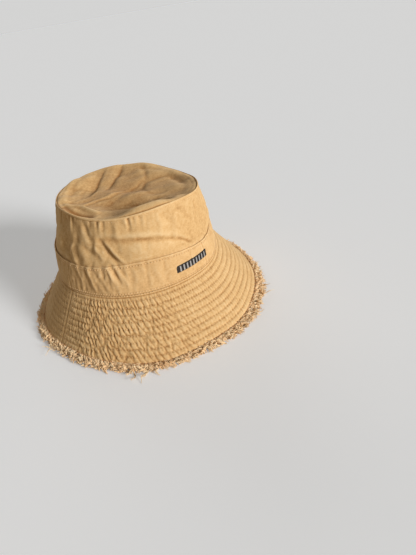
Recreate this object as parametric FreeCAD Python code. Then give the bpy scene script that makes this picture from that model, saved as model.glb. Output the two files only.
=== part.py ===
import FreeCAD, Part

import math
import os

# A soft cotton bucket hat: an oval crown with a sewn-in tip, a plain band round its foot with a
# small metal badge, a stiffened brim quilted in rows, and a frayed edge that lies on the table.
#
# The frame: +Z is up, the front of the hat faces -Y and the wearer's left is +X. The origin is
# on the table, under the middle of the hat. All sizes are in millimetres, all angles in degrees.
#
# Every cloth is a layer that follows the same oval. It is drawn once as a profile, a list of
# (out, up) points: out is how far the point stands outside the crown's outer face, and up is its
# height above the brim seam. The profile is then carried round the oval. The oval is made of
# narrow flat gores, so that every layer keeps its thickness and its faces stay flat.

gores = 68

# The crown, measured over its outer face.
crown_base_length = 195.0
crown_base_width = 186.0
crown_tip_length = 178.0
crown_tip_width = 141.0
crown_height = 77.0
crown_fullness = 2.5
tip_sag = 1.5
tip_sag_run = 12.0

# The cloths, and the air that keeps neighbouring layers apart.
cloth = 0.7
lining_cloth = 0.4
interlining = 0.7
layer_gap = 0.15
seam_allowance = 8.0

# The hat band and the sweatband.
band_height = 32.0
band_cloth = 1.2
sweatband_height = 30.0
sweatband_cloth = 1.0

# The brim and the quilting on it.
brim_width = 72.0
brim_slope = 55.0
quilt_rows = 10
quilt_puff = 0.8

# The frayed edge: a short fall from the last row of stitching, and a foot that lies on the table.
fray_fall = 5.0
fray_slope = 30.0
fray_foot = 7.0
fray_cloth = 0.8

# The badge: a curved metal bar with upright ribs, held by two legs bent over a backing plate.
badge_length = 42.0
badge_height = 8.0
badge_thickness = 1.0
badge_middle_up = 15.0
badge_margin = 0.8
badge_ribs = 9
rib_width = 1.6
rib_rise = 0.7
leg_spacing = 26.0
leg_width = 3.0
leg_thickness = 0.6
leg_clearance = 0.1
tab_length = 5.0
backing_thickness = 0.3
backing_margin = 3.0
badge_gap = 0.05

# What follows from those sizes.
front = (-gores // 4, gores // 4)
back = (gores // 4, 3 * gores // 4)
crown_levels = [0.0, band_height, (band_height + crown_height) / 2, crown_height]
upper_flange_out = -cloth - layer_gap
lining_out = upper_flange_out - cloth - layer_gap
under_flange_out = lining_out - lining_cloth - layer_gap
sweatband_out = under_flange_out - cloth - layer_gap
lining_tip_out = lining_out - lining_cloth - layer_gap
lining_level = crown_height - cloth - 2 * layer_gap
stiffener_depth = cloth + layer_gap
under_depth = stiffener_depth + interlining + layer_gap


def downhill(slope):
    """The unit direction, in (out, up), that falls away from the crown at that slope."""
    return (math.cos(math.radians(slope)), -math.sin(math.radians(slope)))


def stepped(point, direction, along, below=0.0):
    """A profile point moved along a downhill direction, and square to it towards its underside."""
    return (point[0] + direction[0] * along + direction[1] * below,
            point[1] + direction[1] * along - direction[0] * below)


def brim_point(along, depth):
    """A profile point of the brim: along it from the crown, and depth below its upper face."""
    return stepped((upper_flange_out, -layer_gap), downhill(brim_slope), along, depth)


def brim_below(out, depth):
    """Where the line of the brim at that depth passes below a wall that stands that far out."""
    start = brim_point(0, depth)
    direction = downhill(brim_slope)
    return stepped(start, direction, (out - start[0]) / direction[0])


# The table is where the foot of the lower fray lies.
under_fray_root = brim_point(brim_width + layer_gap, under_depth)
table_up = stepped(under_fray_root, downhill(fray_slope), fray_fall)[1] - fray_cloth


def oval_at(up):
    """Half length and half width of the crown's outer face at a height above the brim seam."""
    low, high = crown_levels[:2]
    for low, high in zip(crown_levels, crown_levels[1:]):
        if up <= high:
            break
    share = min(max((up - low) / (high - low), 0.0), 1.0)
    halves = []
    for base, tip in ((crown_base_length, crown_tip_length), (crown_base_width, crown_tip_width)):
        low_size, high_size = [
            (base + (tip - base) * rise) / 2 + 4 * crown_fullness * rise * (1 - rise)
            for rise in (low / crown_height, high / crown_height)]
        halves.append(low_size + (high_size - low_size) * share)
    return halves


def corner(number, out, up):
    """The corner between two gores: number 0 is at the front, and they count towards the left.

    Each gore lies flat against the oval, so the corner is where two neighbouring gores meet.
    """
    half_length, half_width = oval_at(up)
    turns = [math.radians(360 / gores * (number + side)) for side in (-0.5, 0.5)]
    reach = [math.hypot(half_width * math.sin(turn), half_length * math.cos(turn)) + out
             for turn in turns]
    spread = math.sin(turns[1] - turns[0])
    x = (math.cos(turns[0]) * reach[1] - math.cos(turns[1]) * reach[0]) / spread
    y = (math.sin(turns[0]) * reach[1] - math.sin(turns[1]) * reach[0]) / spread
    return FreeCAD.Vector(x, y, up - table_up)


def flat_face(points):
    return Part.Face(Part.makePolygon(points + points[:1]))


def strip(start, end, first, last):
    """The faces between two profile points, from one corner of the oval to another."""
    rows = [[corner(number, *point) for number in range(first, last + 1)]
            for point in (start, end)]
    if start[1] == end[1]:
        return [flat_face(rows[0] + rows[1][::-1])]
    return [flat_face([rows[0][n], rows[0][n + 1], rows[1][n + 1], rows[1][n]])
            for n in range(last - first)]


def solid_from(faces):
    """One closed solid, the right way out, from faces that share their edges."""
    shell = Part.Shell(faces)
    shell.sewShape()
    solid = Part.Solid(Part.Shell(shell.Faces))
    if solid.Volume < 0:
        solid.reverse()
    return solid


def layer(profile, *halves):
    """A closed profile carried round one half of the oval, or round both."""
    faces = []
    for first, last in halves:
        for start, end in zip(profile, profile[1:] + profile[:1]):
            faces += strip(start, end, first, last)
        if len(halves) == 1:
            faces += [flat_face([corner(number, *point) for point in profile])
                      for number in (first, last)]
    return solid_from(faces)


def upright(out, thickness, high):
    """The profile of a cloth that stands against the crown's wall, from its foot to a height."""
    heights = [level for level in crown_levels if level < high] + [high]
    return ([(out, up) for up in heights]
            + [(out - thickness, up) for up in reversed(heights)])


def tip(edge_out, thickness, level):
    """A crown tip: flat, sunk a little inside its seam, with its seam allowance turned down."""
    inner_out, eye_out = edge_out - thickness, edge_out - tip_sag_run
    foot = level - seam_allowance
    profile = [(eye_out, level - tip_sag), (edge_out, level), (edge_out, foot),
               (inner_out, foot), (inner_out, level - thickness),
               (eye_out, level - tip_sag - thickness)]
    faces = []
    for start, end in zip(profile, profile[1:]):
        faces += strip(start, end, *front) + strip(start, end, *back)
    for point in (profile[0], profile[-1]):
        faces.append(flat_face([corner(number, *point) for number in range(gores)]))
    return solid_from(faces)


def quilted(depth, puff):
    """A quilted face of the brim, from the crown to the rim: held at each row, proud between."""
    row = brim_width / quilt_rows
    points = []
    for number in range(quilt_rows):
        points.append(brim_point((number + 0.5) * row, depth - puff))
        points.append(brim_point((number + 1) * row, depth))
    return points


def brim_upper_profile():
    """The upper cloth: its allowance stands inside the crown, and its top is quilted."""
    inner_out = upper_flange_out - cloth
    return ([(upper_flange_out, seam_allowance), brim_below(upper_flange_out, 0)]
            + quilted(0, quilt_puff)
            + [brim_point(brim_width, cloth), brim_below(inner_out, cloth),
               (inner_out, 0.0), (inner_out, seam_allowance)])


def brim_stiffener_profile():
    """The interlining between the two cloths, from the crown seam to the rim."""
    low = stiffener_depth + interlining
    return [brim_below(lining_out, stiffener_depth), brim_point(brim_width, stiffener_depth),
            brim_point(brim_width, low), brim_below(lining_out, low)]


def brim_under_profile():
    """The lower cloth: its allowance stands inside the lining, and its underside is quilted."""
    inner_out, low = under_flange_out - cloth, under_depth + cloth
    return ([(under_flange_out, seam_allowance), brim_below(under_flange_out, under_depth),
             brim_point(brim_width, under_depth)]
            + quilted(low, -quilt_puff)[::-1]
            + [brim_below(inner_out, low), (inner_out, 0.0), (inner_out, seam_allowance)])


def fray_profile(root, floor):
    """A frayed edge: it falls from the rim, then lies flat at a height above the table."""
    direction = downhill(fray_slope)
    low, high = table_up + floor, table_up + floor + fray_cloth

    def down_to(start, level):
        return stepped(start, direction, (level - start[1]) / direction[1])

    under_root = stepped(root, direction, 0, fray_cloth)
    bend = down_to(root, high)
    tip_out = bend[0] + fray_foot
    return [root, bend, (tip_out, high), (tip_out, low), down_to(under_root, low), under_root]


# The badge is bent to the curve of the front of the hat, and leans back with its wall.

badge_face_out = 2 * layer_gap + band_cloth
front_half_length, front_half_width = oval_at(badge_middle_up)
front_radius = front_half_width ** 2 / front_half_length
front_lean = math.degrees(math.atan((oval_at(0)[0] - oval_at(band_height)[0]) / band_height))
backing_out = -cloth - badge_gap - backing_thickness
tab_out = backing_out - badge_gap - leg_thickness


def leaned(shape):
    """A piece made against an upright wall, turned to lean back with the crown's front."""
    middle = FreeCAD.Vector(0, -front_half_length, badge_middle_up - table_up)
    turned = shape.copy()
    turned.rotate(middle, FreeCAD.Vector(1, 0, 0), -front_lean)
    return turned


def curved_bar(out, thickness, left, right, height):
    """A bar bent round the front of the hat, level with the middle of the badge."""
    centre = FreeCAD.Vector(0, front_radius - front_half_length,
                            badge_middle_up - height / 2 - table_up)
    outer = Part.makeCylinder(front_radius + out + thickness, height, centre)
    inner = Part.makeCylinder(front_radius + out, height, centre)
    corner_point = FreeCAD.Vector(left, centre.y - 2 * front_radius, centre.z)
    window = Part.makeBox(right - left, 2 * front_radius, height, corner_point)
    return outer.cut(inner).common(window)


def leg(side, clearance):
    """A leg from the bar to its tab, or with a clearance the slot that the leg goes through."""
    sag = front_radius - math.sqrt(front_radius ** 2 - (leg_spacing / 2) ** 2)
    wall = -front_half_length + sag
    outer = wall - badge_face_out - badge_thickness / 2
    inner = wall - tab_out
    width, height = leg_thickness + 2 * clearance, leg_width + 2 * clearance
    corner_point = FreeCAD.Vector(side * leg_spacing / 2 - width / 2, outer,
                                  badge_middle_up - table_up - height / 2)
    return Part.makeBox(width, inner - outer, height, corner_point)


def badge():
    """The bar with its ribs, and its two legs with their tabs bent inwards."""
    root = badge_face_out + badge_thickness / 2
    pitch = badge_length / (badge_ribs + 1)
    added = []
    for number in range(badge_ribs):
        left = -badge_length / 2 + (number + 1) * pitch - rib_width / 2
        added.append(curved_bar(root, badge_thickness / 2 + rib_rise, left, left + rib_width,
                                badge_height - 2 * badge_margin))
    for side in (-1, 1):
        ends = sorted(side * reach for reach in ((leg_spacing + leg_thickness) / 2,
                                                 leg_spacing / 2 - tab_length))
        added += [leg(side, 0), curved_bar(tab_out, leg_thickness, *ends, leg_width)]
    bar = curved_bar(badge_face_out, badge_thickness, -badge_length / 2, badge_length / 2,
                     badge_height)
    return leaned(bar.multiFuse(added).removeSplitter())


def badge_backing():
    """The thin plate behind the cloth that the tabs press on."""
    half = leg_spacing / 2 + backing_margin
    plate = curved_bar(backing_out, backing_thickness, -half, half, leg_width + backing_margin)
    return leaned(plate.cut([leg(side, leg_clearance) for side in (-1, 1)]))


def slotted(piece):
    """A cloth with a slot for each of the badge's legs."""
    return piece.cut([leaned(leg(side, leg_clearance)) for side in (-1, 1)])


# The pieces, from the top down and from the outside in.

crown_side = upright(0.0, cloth, crown_height)
hat_band = upright(layer_gap + band_cloth, band_cloth, band_height)
lining_side = upright(lining_out, lining_cloth, lining_level)
sweatband = upright(sweatband_out, sweatband_cloth, sweatband_height)
upper_fray = fray_profile(brim_point(brim_width + layer_gap, 0), fray_cloth + layer_gap)
under_fray = fray_profile(under_fray_root, 0)

pieces = {
    "crown_tip": tip(upper_flange_out, cloth, crown_height),
    "crown_side_front": slotted(layer(crown_side, front)),
    "crown_side_back": layer(crown_side, back),
    "hat_band_front": slotted(layer(hat_band, front)),
    "hat_band_back": layer(hat_band, back),
    "badge": badge(),
    "badge_backing": badge_backing(),
    "lining_tip": tip(lining_tip_out, lining_cloth, lining_level),
    "lining_side_front": layer(lining_side, front),
    "lining_side_back": layer(lining_side, back),
    "sweatband": layer(sweatband, front, back),
    "brim_upper_front": layer(brim_upper_profile(), front),
    "brim_upper_back": layer(brim_upper_profile(), back),
    "brim_stiffener_front": layer(brim_stiffener_profile(), front),
    "brim_stiffener_back": layer(brim_stiffener_profile(), back),
    "brim_under_front": layer(brim_under_profile(), front),
    "brim_under_back": layer(brim_under_profile(), back),
    "upper_fray_front": layer(upper_fray, front),
    "upper_fray_back": layer(upper_fray, back),
    "under_fray_front": layer(under_fray, front),
    "under_fray_back": layer(under_fray, back),
}

os.makedirs("parts", exist_ok=True)
for name, shape in pieces.items():
    print(f"{name}: {len(shape.Solids)} solid, {shape.Volume:.0f} mm3, valid {shape.isValid()}")
    shape.exportStep(os.path.join("parts", name + ".step"))
print(f"table to brim seam {-table_up:.1f} mm, to crown seam {crown_height - table_up:.1f} mm")
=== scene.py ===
# %% [markdown]
# # A cotton bucket hat with a quilted brim and a frayed edge
# The solids of this hat come ready packed, in metres, standing on the table at the origin: the
# front faces -Y and the wearer's left is +X. They are plain, so here each cloth gets a dressed
# piece of its own, with the folds, stitches and loose yarns that make it look sewn. The metal
# badge is rigid and its shape is right, so it keeps its solid and only gets a better finish.

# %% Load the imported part
import math

import bpy
import numpy as np
from mathutils import Matrix, Vector


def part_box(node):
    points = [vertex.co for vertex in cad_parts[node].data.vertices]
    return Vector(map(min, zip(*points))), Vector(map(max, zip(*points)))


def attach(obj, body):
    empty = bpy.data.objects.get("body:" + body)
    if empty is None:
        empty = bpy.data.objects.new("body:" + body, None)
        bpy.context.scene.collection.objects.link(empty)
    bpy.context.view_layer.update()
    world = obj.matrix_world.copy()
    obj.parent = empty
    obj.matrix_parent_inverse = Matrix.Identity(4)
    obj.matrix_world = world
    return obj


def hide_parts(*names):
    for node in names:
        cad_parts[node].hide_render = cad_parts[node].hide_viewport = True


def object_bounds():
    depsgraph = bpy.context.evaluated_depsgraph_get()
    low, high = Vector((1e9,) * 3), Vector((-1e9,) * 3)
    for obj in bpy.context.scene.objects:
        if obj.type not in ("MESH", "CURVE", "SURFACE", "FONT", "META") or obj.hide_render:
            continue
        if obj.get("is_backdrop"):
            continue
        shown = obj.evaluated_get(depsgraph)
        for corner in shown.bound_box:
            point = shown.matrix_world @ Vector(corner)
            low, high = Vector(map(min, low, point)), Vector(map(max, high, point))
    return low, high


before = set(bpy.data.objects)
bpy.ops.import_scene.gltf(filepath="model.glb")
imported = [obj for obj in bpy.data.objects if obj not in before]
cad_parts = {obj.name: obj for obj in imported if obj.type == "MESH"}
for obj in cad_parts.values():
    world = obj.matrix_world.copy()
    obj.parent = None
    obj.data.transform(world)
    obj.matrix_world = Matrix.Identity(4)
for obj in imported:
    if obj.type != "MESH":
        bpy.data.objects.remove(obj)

cad_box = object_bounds()
bpy.ops.object.select_all(action="DESELECT")
print("packed nodes:", len(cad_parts))

# %% [markdown]
# ## Sizes
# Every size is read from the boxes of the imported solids, so the dressed pieces fit them with no
# adjustment. The maths below is in millimetres, because cloth is easier to think of that way, and
# it is turned into metres only when points are written into a mesh. Out is how far a point stands
# outside the crown's face, up is its height above the seam between crown and brim, and turn is
# its angle round the hat, 0 at the front and growing towards the wearer's left.

# %% Read the sizes
MM = 0.001


def box_mm(node):
    """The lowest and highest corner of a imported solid, in millimetres."""
    return [np.array(corner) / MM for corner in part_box(node)]


side_low, side_high = box_mm("crown_side_front")
badge_low, badge_high = box_mm("badge")
band_low, band_high = box_mm("hat_band_front")
_, tip_high = box_mm("crown_tip")

# Thicknesses of the twill, the lining, the interlining and the sweatband, and the air between.
CLOTH, LINING, FELT, TAPE, GAP = 0.7, 0.4, 0.7, 1.0, 0.15
SEAM_LEVEL = side_low[2]
CROWN_HIGH = side_high[2] - side_low[2]
BAND_HIGH = band_high[2] - band_low[2]
FOOT_HALF = np.array([side_high[0], -side_low[1]])
TIP_HALF = np.array([tip_high[0], tip_high[1]]) + CLOTH + GAP
FULLNESS = 2.5
SLOPE = math.radians(55)
RUN, FALL = math.cos(SLOPE), math.sin(SLOPE)
BRIM_WIDE, ROWS = 72.0, 10
ROW = BRIM_WIDE / ROWS
BRIM_OUT, BRIM_UP, BRIM_STARTS = -CLOTH - GAP, -GAP, -4
RIM_UP = BRIM_UP - BRIM_WIDE * FALL

# The radii at which lengths round the hat are measured: on the wall, on cloth that is unrolled,
# along rows of stitches, half way down the brim, and at the rim.
WALL_ROUND, CLOTH_ROUND, ROW_ROUND, BRIM_ROUND, RIM_ROUND = 92.0, 95.0, 93.0, 116.0, 137.0
print("crown", np.round(FOOT_HALF, 1), np.round(TIP_HALF, 1), "high", round(CROWN_HIGH, 1))

# %% [markdown]
# ## How the hat has settled
# A soft hat never stands as true as its pattern. Its brim seam, the top of its band, its crown
# seam and its rim each wander a few millimetres in and out, and up and down. A table gives that
# wander at four levels, as rows of turn in degrees, out and up, and a smooth curve through it goes
# round the hat. All the cloths, stitches and yarns are placed through the same function, so they
# stay together.

# %% Draw curves round the hat
FINE = np.arange(0, 360, 0.5)


def round_curve(table, column, soften=7.0):
    """A smooth closed curve through a table of turns in degrees and millimetres."""
    turns = [row[0] % 360 for row in table]
    order = np.argsort(turns)
    line = np.interp(FINE, np.array(turns)[order], np.array([row[column] for row in table])[order],
                     period=360)
    waves = np.fft.rfft(line)
    waves *= np.exp(-0.5 * (np.arange(len(waves)) * math.radians(soften)) ** 2)
    return np.fft.irfft(waves, len(line))


def at_turn(line, turn):
    """The value of such a curve at a turn in radians."""
    return np.interp(np.degrees(turn) % 360, FINE, line, period=360)


print("a curve round the hat has", len(FINE), "points")

# %% Say how the hat has settled
SETTLED = {
    RIM_UP: [(90, 1.5, 2.6), (71, 0, 0.4), (50, -0.6, 0), (24, -0.7, 0.2), (12, 1.8, -1.1),
             (1, 1, -1), (-11, -0.4, 0.3), (-21, 1.6, -1.2), (-31, 2.2, -1.7), (-40, 1.5, -1.2),
             (-48, 0, 0), (-57, -0.8, 2.3), (-68, -2.5, 2.9), (-82, -4.6, 2.5), (-101, -0.5, 0.3),
             (-132, 0, 0), (-160, 0.8, 1.5), (165, -0.6, -0.8), (135, 0.8, 1.4), (112, 0, 0.4)],
    0.0: [(90, 0, 0), (60, -4, -1), (43, -5, -0.5), (34, -3, 0.5), (15, 0.9, -0.6), (-4, 0, -0.3),
          (-32, 0, -0.4), (-57, 0, -1.2), (-72, 0.2, -2), (-99, 4.2, -2.4), (-125, 1.6, -0.6),
          (-160, 0, 0), (160, 0.4, 0.3), (125, -0.4, 0)],
    BAND_HIGH: [(90, 0, 0), (60, -4.6, -1.5), (46, -5.4, -3), (36, -5.2, -4), (21, -2.2, -4.6),
                (8, 0, -3), (-6, 0.2, 1.4), (-22, 0, 4), (-48, 0, 2.3), (-76, 1.5, -1.8),
                (-100, 1.2, -2.3), (-130, 1, -0.6), (-165, -0.6, 0.4), (150, 0.8, -0.4),
                (120, -0.6, 0.4)],
    CROWN_HIGH: [(96, -1.6, -3.6), (80, -1.6, -3.8), (70, -1.5, -3.2), (58, -0.6, -0.8),
                 (48, 0.3, 0.3), (39, 1.2, -0.2), (30, 0.4, -0.4), (7, -2, 3.6), (-13, -1, 5.4),
                 (-30, 0, 3.8), (-45, 0, 1.5), (-60, 0, 0.2), (-72, 0, 0.6), (-86, -0.6, 1.9),
                 (-102, -1.6, 1.3), (-116, -1.8, -0.6), (-130, -2, -1.2), (-156, -1.2, -2.4),
                 (180, -0.4, -2.2), (160, 0, -1), (150, -0.4, -1.4), (137, -0.8, -2),
                 (120, -0.5, 0.2), (108, -0.8, -1.4)],
}
SOFTEN = {RIM_UP: 5.0, 0.0: 8.0, BAND_HIGH: 8.0, CROWN_HIGH: 4.0}
LEVELS = sorted(SETTLED)
WANDER = {column: np.array([round_curve(SETTLED[level], column, SOFTEN[level])
                            for level in LEVELS]) for column in (1, 2)}
print("rim wanders", np.round([WANDER[2][0].min(), WANDER[2][0].max()], 1), "mm up and down")


# %% Read how far the hat has wandered at a point
def settled(turn, up, column):
    """How far the hat has wandered at a turn and a height: column 1 is out, and 2 is up."""
    lines = [at_turn(line, turn) for line in WANDER[column]]
    found = np.where(up <= LEVELS[0], lines[0], lines[-1])
    for number, (low, high) in enumerate(zip(LEVELS, LEVELS[1:])):
        share = np.clip((up - low) / (high - low), 0, 1)
        inside = (up > low) & (up <= high)
        found = np.where(inside, lines[number] * (1 - share) + lines[number + 1] * share, found)
    return found


BADGE_UP = (badge_low[2] + badge_high[2]) / 2 - SEAM_LEVEL
BADGE_REACH = badge_high[0]
CLEAR_ACROSS, CLEAR_UP = 1.15, 9.5


def clear_of_badge(turn, up):
    """1 away from the badge, and 0 behind it, where the band has to lie as its solid does."""
    across = np.degrees(turn) / math.degrees(BADGE_REACH / FOOT_HALF[0])
    return 1 - np.exp(-(across / CLEAR_ACROSS) ** 4 - ((up - BADGE_UP) / CLEAR_UP) ** 4)


print("the badge is", round(BADGE_UP, 1), "mm above the brim's seam")


# %% Place a point on the settled hat
def wall_half(up):
    """The half width and half length of the crown's face at a height."""
    rise = np.clip(up / CROWN_HIGH, 0, 1)
    belly = 4 * FULLNESS * rise * (1 - rise)
    return [foot + (tip - foot) * rise + belly for foot, tip in zip(FOOT_HALF, TIP_HALF)]


def place(turn, out, up):
    """The point in millimetres, on the settled hat, for a turn, an out and an up."""
    half_x, half_y = wall_half(up)
    sine, cosine = np.sin(turn), np.cos(turn)
    clear = np.where(up > BRIM_STARTS, clear_of_badge(turn, up), 1)
    reach = out + settled(turn, up, 1) * clear
    square = np.hypot(sine / half_x, cosine / half_y)
    return np.stack([half_x * sine + reach * sine / half_x / square,
                     -half_y * cosine - reach * cosine / half_y / square,
                     SEAM_LEVEL + up + settled(turn, up, 2)], -1)


def on_brim(along, proud):
    """The out and up of a point on the brim: along it from the crown, and proud of its face."""
    return (BRIM_OUT + along * RUN + proud * FALL, BRIM_UP - along * FALL + proud * RUN)


print("the front of the rim is at", np.round(place(0.0, *on_brim(BRIM_WIDE, 0.0)), 1), "mm")

# %% [markdown]
# ## Camera
# The hat is looked at from its front and its right side, from a little above, with a short lens
# near to it. The camera is rolled, which makes the hat seem to lean to the left.

# %% Set the camera
SENSOR, LENS = 36, 26.6
AZIMUTH, ELEVATION, ROLL = (math.radians(a) for a in (-39.74, 34.28, -9.37))
DISTANCE, ASIDE, ABOVE = 0.49955, 0.07589, -0.04972
back = Vector((math.sin(AZIMUTH) * math.cos(ELEVATION), -math.cos(AZIMUTH) * math.cos(ELEVATION),
               math.sin(ELEVATION)))
across = (-back).cross(Vector((0, 0, 1))).normalized()
upward = across.cross(-back)
spot = Vector((0, 0, SEAM_LEVEL * MM)) + ASIDE * across + ABOVE * upward + DISTANCE * back
turned = Matrix((math.cos(ROLL) * across + math.sin(ROLL) * upward,
                 -math.sin(ROLL) * across + math.cos(ROLL) * upward, back)).transposed()
bpy.ops.object.camera_add()
camera = bpy.context.object
camera.name = "camera"
camera.matrix_world = Matrix.Translation(spot) @ turned.to_4x4()
camera.data.sensor_width, camera.data.lens = SENSOR, LENS
camera.data.clip_start, camera.data.clip_end = 0.01, 100
bpy.context.scene.camera = camera
print("camera at", [round(x, 3) for x in spot])

# %% [markdown]
# ## Floor and light
# A large pale floor carries the hat, and the world behind it has the colour that the floor takes
# in this light, so no horizon shows. One soft low sun stands for a window, in front of the hat and
# a little to its left, so that it rakes over the folds. A weak, wide one behind keeps the back of
# the hat readable, and the pale world fills what is left in the shade.

# %% Lay the floor
FLOOR_SIZE = 60
FLOOR_COLOUR, FLOOR_BOUNCE, FLOOR_GLOW = np.array([0.82, 0.86, 0.92]), (0.58, 0.45, 0.29), 0.21
bpy.ops.mesh.primitive_plane_add(size=FLOOR_SIZE)
floor = bpy.context.object
floor.name = "floor"
floor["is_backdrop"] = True
print("the floor is", FLOOR_SIZE, "m wide")

# %% Set the lights
FILL, FILL_COLOUR = 0.21, np.array([1.0, 0.93, 0.82])
# Name, turn and height in degrees, power, width in degrees, colour.
LIGHTS = [("window_light", 10, 17, 3.05, 16, np.array([1.0, 0.965, 0.915])),
          ("back_light", 162, 9, 1.0, 45, np.array([1.0, 0.96, 0.90]))]
lit = FILL * FILL_COLOUR
for name, turn, high, power, soft, tint in LIGHTS:
    turn, high = math.radians(turn), math.radians(high)
    bpy.ops.object.light_add(type="SUN")
    sun = bpy.context.object
    sun.name = name
    towards = Vector((math.sin(turn) * math.cos(high), -math.cos(turn) * math.cos(high),
                      math.sin(high)))
    sun.rotation_euler = towards.to_track_quat("Z", "Y").to_euler()
    sun.data.energy, sun.data.angle, sun.data.color = power, math.radians(soft), tint
    lit = lit + power * math.sin(high) / math.pi * tint

bpy.context.scene.view_settings.view_transform = "Standard"
print("light on the floor:", np.round(lit, 2))

# %% [markdown]
# ## Writing finishes
# A finish is a tree of nodes. To keep it readable, a small class wraps one output of a node, so
# that shader maths is written as sums, and one method adds any other node from its type, its
# settings and the values or links of its sockets.


# %% Write shader maths as sums
class Line:
    """One output of a node. Sums and products of lines add the Math nodes that work them out."""

    def __init__(self, finish, socket):
        self.finish, self.socket = finish, socket

    def math(self, operation, first, second):
        return self.finish.add("ShaderNodeMath", {"operation": operation}, {0: first, 1: second})

    def __add__(self, other):
        return self.math("ADD", self, other)

    def __sub__(self, other):
        return self.math("SUBTRACT", self, other)

    def __rsub__(self, other):
        return self.math("SUBTRACT", other, self)

    def __mul__(self, other):
        return self.math("MULTIPLY", self, other)

    def sine(self):
        return self.math("SINE", self, 0.0)

    def output(self, name):
        return Line(self.finish, self.socket.node.outputs[name])

    __radd__, __rmul__ = __add__, __mul__


print("a Line adds, subtracts and multiplies, and takes a sine")


# %% Add any other node
class Finish:
    """The node tree of a material or a world, and the one method that adds a node to it."""

    def __init__(self, owner):
        self.tree = owner.node_tree

    def add(self, kind, settings=None, values=None, out=0):
        node = self.tree.nodes.new(kind)
        for name, value in (settings or {}).items():
            if name == "stops":
                ramp = node.color_ramp
                while len(ramp.elements) < len(value):
                    ramp.elements.new(0.5)
                for element, (position, colour) in zip(ramp.elements, value):
                    element.position, element.color = position, (*colour, 1)
            else:
                setattr(node, name, value)
        self.set(node, values or {})
        return Line(self, node.outputs[out])

    def set(self, node, values):
        for name, value in values.items():
            if isinstance(value, Line):
                self.tree.links.new(value.socket, node.inputs[name])
            else:
                node.inputs[name].default_value = value

    def mix(self, share, first, second):
        return self.add("ShaderNodeMix", {"data_type": "RGBA"}, {0: share, 6: first, 7: second},
                        out=2)

    def between(self, value, low, high):
        return self.add("ShaderNodeMapRange", {"interpolation_type": "SMOOTHSTEP"},
                        {"Value": value, "From Min": low, "From Max": high})

    def noise(self, vector, scale, detail=2.0, roughness=0.5):
        return self.add("ShaderNodeTexNoise", {}, {"Vector": vector, "Scale": scale,
                                                   "Detail": detail, "Roughness": roughness})

    def coordinates(self, name):
        return self.add("ShaderNodeTexCoord", {}, {}, out=name)

    def attribute(self, name):
        return self.add("ShaderNodeAttribute", {"attribute_name": name}, {}, out="Fac")


print("a Finish adds one node at a time")


# %% Start a finish
def new_finish(name, **constants):
    """A material with its shader's constant values set, and the Finish that adds to it."""
    material = bpy.data.materials.new(name)
    material.use_nodes = True
    shader = material.node_tree.nodes["Principled BSDF"]
    for socket, value in constants.items():
        shader.inputs[socket.replace("_", " ")].default_value = value
    return material, Finish(material), shader


def colour(red, green, blue):
    """A colour as a socket takes it, fully opaque."""
    return (red, green, blue, 1.0)


print("materials so far:", len(bpy.data.materials))

# %% [markdown]
# ## The floor's finish and the world
# The floor is plain and pale where it is looked at, and it throws back less and warmer light, as a
# wooden table would, so the shaded side of the hat stays warm. The world lights the hat evenly,
# and rays from the camera and reflections see the floor's own colour in it, so the floor seems to
# go on for ever.


# %% Finish the floor
def seen_by(finish):
    """1 for rays that look at a thing or mirror it, and 0 for those that only light the hat."""
    rays = finish.add("ShaderNodeLightPath", {}, {}, out="Is Camera Ray")
    seen = rays.math("MAXIMUM", rays, rays.output("Is Glossy Ray"))
    return seen.math("MAXIMUM", seen, rays.output("Is Transmission Ray"))


floor_paint, ground, plain_shader = new_finish("pale_floor")
ground.tree.nodes.remove(plain_shader)
pale = ground.add("ShaderNodeBsdfDiffuse", {}, {"Color": colour(*FLOOR_COLOUR)})
glow = ground.add("ShaderNodeEmission", {}, {"Strength": FLOOR_GLOW})
looked_at = ground.add("ShaderNodeAddShader", {}, {0: pale, 1: glow})
bounce = ground.add("ShaderNodeBsdfDiffuse", {}, {"Color": colour(*FLOOR_BOUNCE)})
ground.set(ground.tree.nodes["Material Output"], {"Surface": ground.add(
    "ShaderNodeMixShader", {}, {0: seen_by(ground), 1: bounce, 2: looked_at})})
floor.data.materials.append(floor_paint)
print("the floor is finished as", floor_paint.name)

# %% Finish the world
world = bpy.data.worlds.new("world")
bpy.context.scene.world = world
world.use_nodes = True
sky = Finish(world)
for node in list(sky.tree.nodes):
    sky.tree.nodes.remove(node)
far_floor = FLOOR_COLOUR * lit + FLOOR_GLOW
fill_light = sky.add("ShaderNodeBackground", {}, {"Color": colour(*FILL_COLOUR), "Strength": FILL})
backdrop = sky.add("ShaderNodeBackground", {}, {"Color": colour(*far_floor)})
both = sky.add("ShaderNodeMixShader", {}, {0: seen_by(sky), 1: fill_light, 2: backdrop})
sky.set(sky.tree.nodes.new("ShaderNodeOutputWorld"), {"Surface": both})
print("the backdrop is", np.round(far_floor, 2))

# %% [markdown]
# ## Cloth finishes
# The hat is cotton twill, dyed after it was sewn. So the ridges of its folds are rubbed paler, with
# a painted highlight on them, the hollows are painted darker as painted shade, and fine diagonal
# ribs cross it. The ribs and the uneven yarns follow the cloth's own unrolled coordinates. Each
# cloth mesh carries an attribute of wear and painted light, positive on a ridge and negative in a
# hollow, which moves the colour between a deep, a middle and a pale dye.

# %% Describe a cloth finish
ALONG_YARN, ACROSS_YARN = 260.0, 1500.0


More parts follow.
